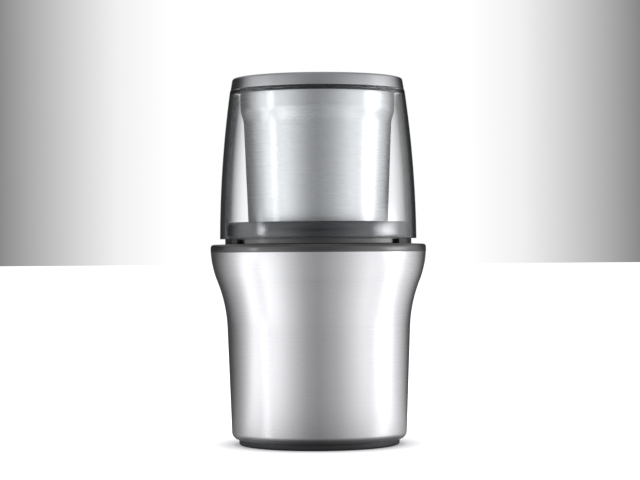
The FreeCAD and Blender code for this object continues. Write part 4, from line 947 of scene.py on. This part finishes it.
@dataclass
class Lid:
    """The clear cover, its steel cap and the seal inside it."""

    swell: float = 1.4
    wall: float = 2.3
    ledge: float = 1.3
    ledge_radius: float = 44.8
    shoulder: float = 1.7
    edge: float = 0.45
    top_radius: float = 49.1
    cap_taper: float = 1.1
    cap_wall: float = 0.8
    cap_round: float = 1.3
    gasket_round: float = 0.4

    def side(self, inset: float, low: float, high: float, steps: int = 26) -> list[Point]:
        """The curved side of the cover between two heights.

        Args:
            inset: How far inside the outer face it lies.
            low: The lower height.
            high: The upper height.
            steps: How many stretches the whole side has.

        Returns:
            Its points, from the bottom up.
        """
        bottom, top = heights("clear_cover")
        start = (radius_of("clear_cover") - inset, bottom)
        end = (self.top_radius - inset, top)
        via = ((start[0] + end[0]) / 2 + self.swell, (bottom + top) / 2)
        return [point for point in arc(start, via, end, steps) if low <= point[1] <= high]

    def build_cover(self) -> None:
        """The clear cover, with soft edges at its mouth and a rounded shoulder inside its top."""
        bottom, top = heights("clear_cover")
        mouth = radius_of("clear_cover")
        below = top - self.ledge
        outer = self.side(0.0, bottom + self.edge * 2, top - self.edge * 2)
        inner = self.side(self.wall, bottom + self.edge * 2, below - self.shoulder * 1.3)
        corner = inner[-1][0] + (inner[-1][0] - inner[-2][0]) * 0.5
        cover = Bench.turned("clear_lid", softened([
            (mouth, bottom, self.edge),
            *outer,
            (self.top_radius, top, self.edge),
            (self.ledge_radius, top),
            (self.ledge_radius, below, self.edge * 0.5),
            (corner, below, self.shoulder),
            *inner[::-1],
            (mouth - self.wall, bottom, self.edge),
        ]), 192, 50.0)
        fit(cover, "lid", COVER_PLASTIC, "clear_plastic", "clear_cover")

    def build_cap(self) -> None:
        """The steel cap, with its rounded top edge."""
        bottom, top = heights("lid_cap")
        mouth = radius_of("lid_cap")
        crown = mouth - self.cap_taper
        cap = Bench.turned("steel_cap", softened([
            (0.0, top),
            (crown * 0.5, top),
            (crown, top, self.cap_round),
            (mouth, bottom, self.edge * 0.5),
            (mouth - self.cap_wall, bottom),
            (crown - self.cap_wall, top - self.cap_wall, self.edge),
            (0.0, top - self.cap_wall),
        ], 8), 192)
        fit(cap, "lid", CAP_STEEL, "brushed_cap", "lid_cap")
        cap.data.materials.append(CAP_SIDE_STEEL.material())
        for face in cap.data.polygons:
            face.material_index = int(abs(face.normal.z) < 0.5)

    def build_gasket(self) -> None:
        """The soft ring that seals the rim of the bowl."""
        bottom, top = heights("bowl_gasket")
        outer = radius_of("bowl_gasket")
        inner = outer - 2.2
        gasket = Bench.turned("rim_seal", softened([
            (inner, bottom, self.gasket_round),
            (outer, bottom, self.gasket_round),
            (outer, top, self.gasket_round),
            (inner, top, self.gasket_round),
        ]), 160)
        fit(gasket, "inner_cover", SEAL_RUBBER, "seal_rubber", "bowl_gasket")

    def build(self) -> None:
        """All new pieces of the lid."""
        self.build_cover()
        self.build_cap()
        self.build_gasket()


@dataclass
class Studio:
    """Floor, world, lamp and camera."""

    camera_distance: float = 1153.0
    camera_height: float = 106.6
    camera_aside: float = 0.93
    focal_pixels: float = 2050.0
    horizon_below_middle: float = 14.0
    roll: float = math.radians(0.375)
    floor_size: float = 40.0
    # painted shadow: the floor glows by near_glow round the foot and by far_glow more further out, darkening
    # the floor near the grinder
    near_glow: float = 0.24
    far_glow: float = 0.50
    painted_shadow_start: float = 0.044
    painted_shadow_run: float = 0.028
    level: float = 2.0
    low_panels: tuple[Point, ...] = (
        (-180, 0.50), (-175, 0.50), (-170, 0.03), (-152, 0.03), (-138, 0.07), (-126, 0.16), (-110, 0.30),
        (-97, 0.50), (-84, 0.97), (-72, 0.82), (-66, 0.72), (-58, 0.94), (-46, 0.80), (-30, 0.50),
        (-14, 0.29), (0, 0.23), (22, 0.37), (38, 0.56), (54, 0.76), (72, 0.72), (81, 1.00), (93, 0.98),
        (105, 0.64), (118, 0.46), (132, 0.27), (146, 0.09), (156, 0.03), (170, 0.03), (175, 0.50), (180, 0.50),
    )
    high_panels: tuple[Point, ...] = (
        (-180, 0.50), (-175, 0.50), (-170, 0.02), (-134, 0.02), (-123, 0.06), (-112, 0.30), (-97, 0.58),
        (-84, 0.64), (-66, 0.62), (-56, 0.54), (-46, 0.50), (-30, 0.38), (-14, 0.24), (0, 0.19),
        (22, 0.29), (38, 0.47), (54, 0.62), (72, 0.72), (83, 0.88), (99, 0.84), (113, 0.66),
        (126, 0.40), (138, 0.12), (150, 0.02), (170, 0.02), (175, 0.50), (180, 0.50),
    )
    overhead: float = 0.26
    strips: tuple[Point, ...] = ((-72.0, 8.0), (89.0, 24.0))
    strip_level: float = 7.0
    strip_reach: float = 0.09
    # painted shade: how much the panels mirrored in the floor are dimmed near the grinder
    shade: float = 0.92
    shade_start: float = 0.05
    shade_run: float = 0.08
    gap_level: float = 0.8
    gap_reach: float = 0.05
    gap_half: float = 62.0
    lamp_size: float = 0.6
    lamp_height: float = 1.5
    lamp_energy: float = 11.0

    @staticmethod
    def surround(graph: Graph, point: Socket, panels: Sequence[Point]) -> tuple[Socket, Socket]:
        """The grey, bright and dark panels that stand round the grinder.

        Args:
            graph: The shader's nodes.
            point: A direction, or a place on the floor.
            panels: The way round to each panel, in degrees, and its level.

        Returns:
            The panels' colour, and the way round to the point in radians.
        """
        x, y, _ = graph.split(point)
        way = x.heading(-y)
        stops = [((angle + 180) / 360, (level, level, level)) for angle, level in panels]
        return graph.add("ShaderNodeValToRGB", {"stops": stops}, {"Fac": way / math.tau + 0.5}), way

    @staticmethod
    def patch(value: Socket, middle: float, half: float) -> Socket:
        """One at a middle value, falling softly to nought where it is half a width away."""
        aside = (value - middle) / half
        return (1.0 - aside * aside).at_least(0.0) ** 2.0

    @staticmethod
    def mirrored(graph: Graph) -> Socket:
        """Nought for what is seen straight or through clear plastic, one for what is reflected."""
        path = graph.add("ShaderNodeLightPath", output="Ray Depth")
        clear = graph.add("ShaderNodeLightPath", output="Transmission Depth")
        return (path - clear).at_most(1.0)

    def build_floor(self) -> None:
        """A pale floor that keeps the shadow of the grinder, with painted shadow where its glow is lower round
        the foot, and mirrors the panels in its gloss, with painted shade on them near the grinder.
        """
        Bench.clear()
        bpy.ops.mesh.primitive_plane_add(size=self.floor_size)
        floor = bpy.context.object
        floor.name = "studio_floor"
        made = bpy.data.materials.new("floor_white")
        made.use_nodes = True
        made.cycles.emission_sampling = "NONE"
        graph = Graph(made.node_tree)
        point, x, y, _ = graph.place()
        panel, _ = self.surround(graph, point, self.low_panels)
        gloss = graph.add("ShaderNodeLightPath", output="Glossy Depth").at_most(1.0)
        # painted shadow: less glow within a few centimetres of the axis, darkening the floor round the foot
        reach = (x * x + y * y).root()
        away = ((reach - self.painted_shadow_start) / self.painted_shadow_run).at_least(0.0).at_most(1.0)
        glow = (self.near_glow + away * self.far_glow) * (1.0 - self.mirrored(graph))
        # painted shade: the panels mirrored in the floor's gloss are dimmed near the grinder, standing in for
        # its shadow
        clear = ((reach - self.shade_start) / self.shade_run).at_least(0.0).at_most(1.0)
        paint = graph.add("ShaderNodeBsdfDiffuse", inputs={"Color": (0.80, 0.80, 0.82, 1.0)})
        light = graph.add("ShaderNodeEmission", inputs={"Color": (1.0, 1.0, 1.0, 1.0), "Strength": glow})
        pale = graph.add("ShaderNodeAddShader", inputs={0: paint, 1: light})
        shaded = (clear * self.shade + (1.0 - self.shade)) * self.level
        shown = graph.add("ShaderNodeEmission", inputs={"Color": panel, "Strength": shaded})
        both = graph.add("ShaderNodeMixShader", inputs={0: gloss, 1: pale, 2: shown})
        graph.add("ShaderNodeOutputMaterial", inputs={"Surface": both})
        floor.data.materials.append(made)

    def build_world(self) -> None:
        """A white backdrop, with the panels and two tall soft lights round the grinder."""
        world = bpy.data.worlds.new("studio_world")
        world.use_nodes = True
        bpy.context.scene.world = world
        graph = Graph(world.node_tree)
        point = graph.add("ShaderNodeTexCoord", output="Generated")
        panel, way = self.surround(graph, point, self.high_panels)
        _, _, z = graph.split(point)
        above = ((z - 0.25) * 4.0).at_least(0.0).at_most(1.0)
        panel = graph.blend(above, panel, (self.overhead, self.overhead, self.overhead * 1.03))
        gap = self.patch(way, 0.0, math.radians(self.gap_half)) * self.patch(z, 0.0, self.gap_reach)
        panel = graph.blend(gap * self.gap_level, panel, (0.0, 0.0, 0.0))
        bright = 0.0
        for angle, half in self.strips:
            bright = self.patch(way, math.radians(angle), math.radians(half)) + bright
        upright = self.patch(z, 0.0, self.strip_reach)
        studio = graph.add("ShaderNodeBackground", inputs={"Color": panel, "Strength": self.level})
        strips = graph.add("ShaderNodeBackground", inputs={
            "Color": (1.0, 1.0, 1.0, 1.0), "Strength": bright * upright * self.strip_level})
        lit = graph.add("ShaderNodeAddShader", inputs={0: studio, 1: strips})
        white = graph.add("ShaderNodeBackground", inputs={"Color": (1.0, 1.0, 1.0, 1.0), "Strength": 1.0})
        seen = graph.add("ShaderNodeMixShader", inputs={0: self.mirrored(graph), 1: white, 2: lit})
        graph.add("ShaderNodeOutputWorld", inputs={"Surface": seen})

    def build_lamp(self) -> None:
        """A large soft lamp overhead, which gives the shadow round the foot."""
        light = bpy.data.lights.new("overhead", "AREA")
        light.size = self.lamp_size
        light.energy = self.lamp_energy
        lamp = bpy.data.objects.new("overhead", light)
        bpy.context.scene.collection.objects.link(lamp)
        lamp.location.z = self.lamp_height
        lamp.visible_camera = False
        lamp.visible_glossy = False
        lamp.visible_transmission = False

    def build_camera(self) -> None:
        """The camera, where the photograph was taken from."""
        data = bpy.data.cameras.new("camera")
        data.sensor_width = 36.0
        data.lens = self.focal_pixels / PHOTO_WIDTH * data.sensor_width
        data.clip_start = 0.01
        data.clip_end = 200.0
        camera = bpy.data.objects.new("camera", data)
        bpy.context.scene.collection.objects.link(camera)
        camera.location = Vector((self.camera_aside, -self.camera_distance, self.camera_height)) * MM
        pitch = math.atan2(self.horizon_below_middle, self.focal_pixels)
        camera.rotation_euler = (math.pi / 2 + pitch, self.roll, 0.0)
        bpy.context.scene.camera = camera

    def build(self) -> None:
        """The whole studio."""
        self.build_floor()
        self.build_world()
        self.build_lamp()
        self.build_camera()
        bpy.context.scene.view_settings.view_transform = "Standard"


def dress_nodes() -> None:
    """Gives every carried node its finish."""
    for finish, nodes in NODE_FINISHES.items():
        for node in nodes:
            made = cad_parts[node]
            if not made.material_slots:
                made.data.materials.append(finish.material())
            for place in made.material_slots:
                place.material = finish.material()
            LOG.info("%s: %s", node, finish.name)


def main() -> None:
    """Builds the grinder and its studio."""
    logging.basicConfig(level=logging.INFO, format="%(name)s %(message)s")
    dress_nodes()
    for assembly in (MotorBase(), Bowl(), Lid(), Studio()):
        assembly.build()
        LOG.info("%s done", type(assembly).__name__)


if __name__ == "__main__":
    main()
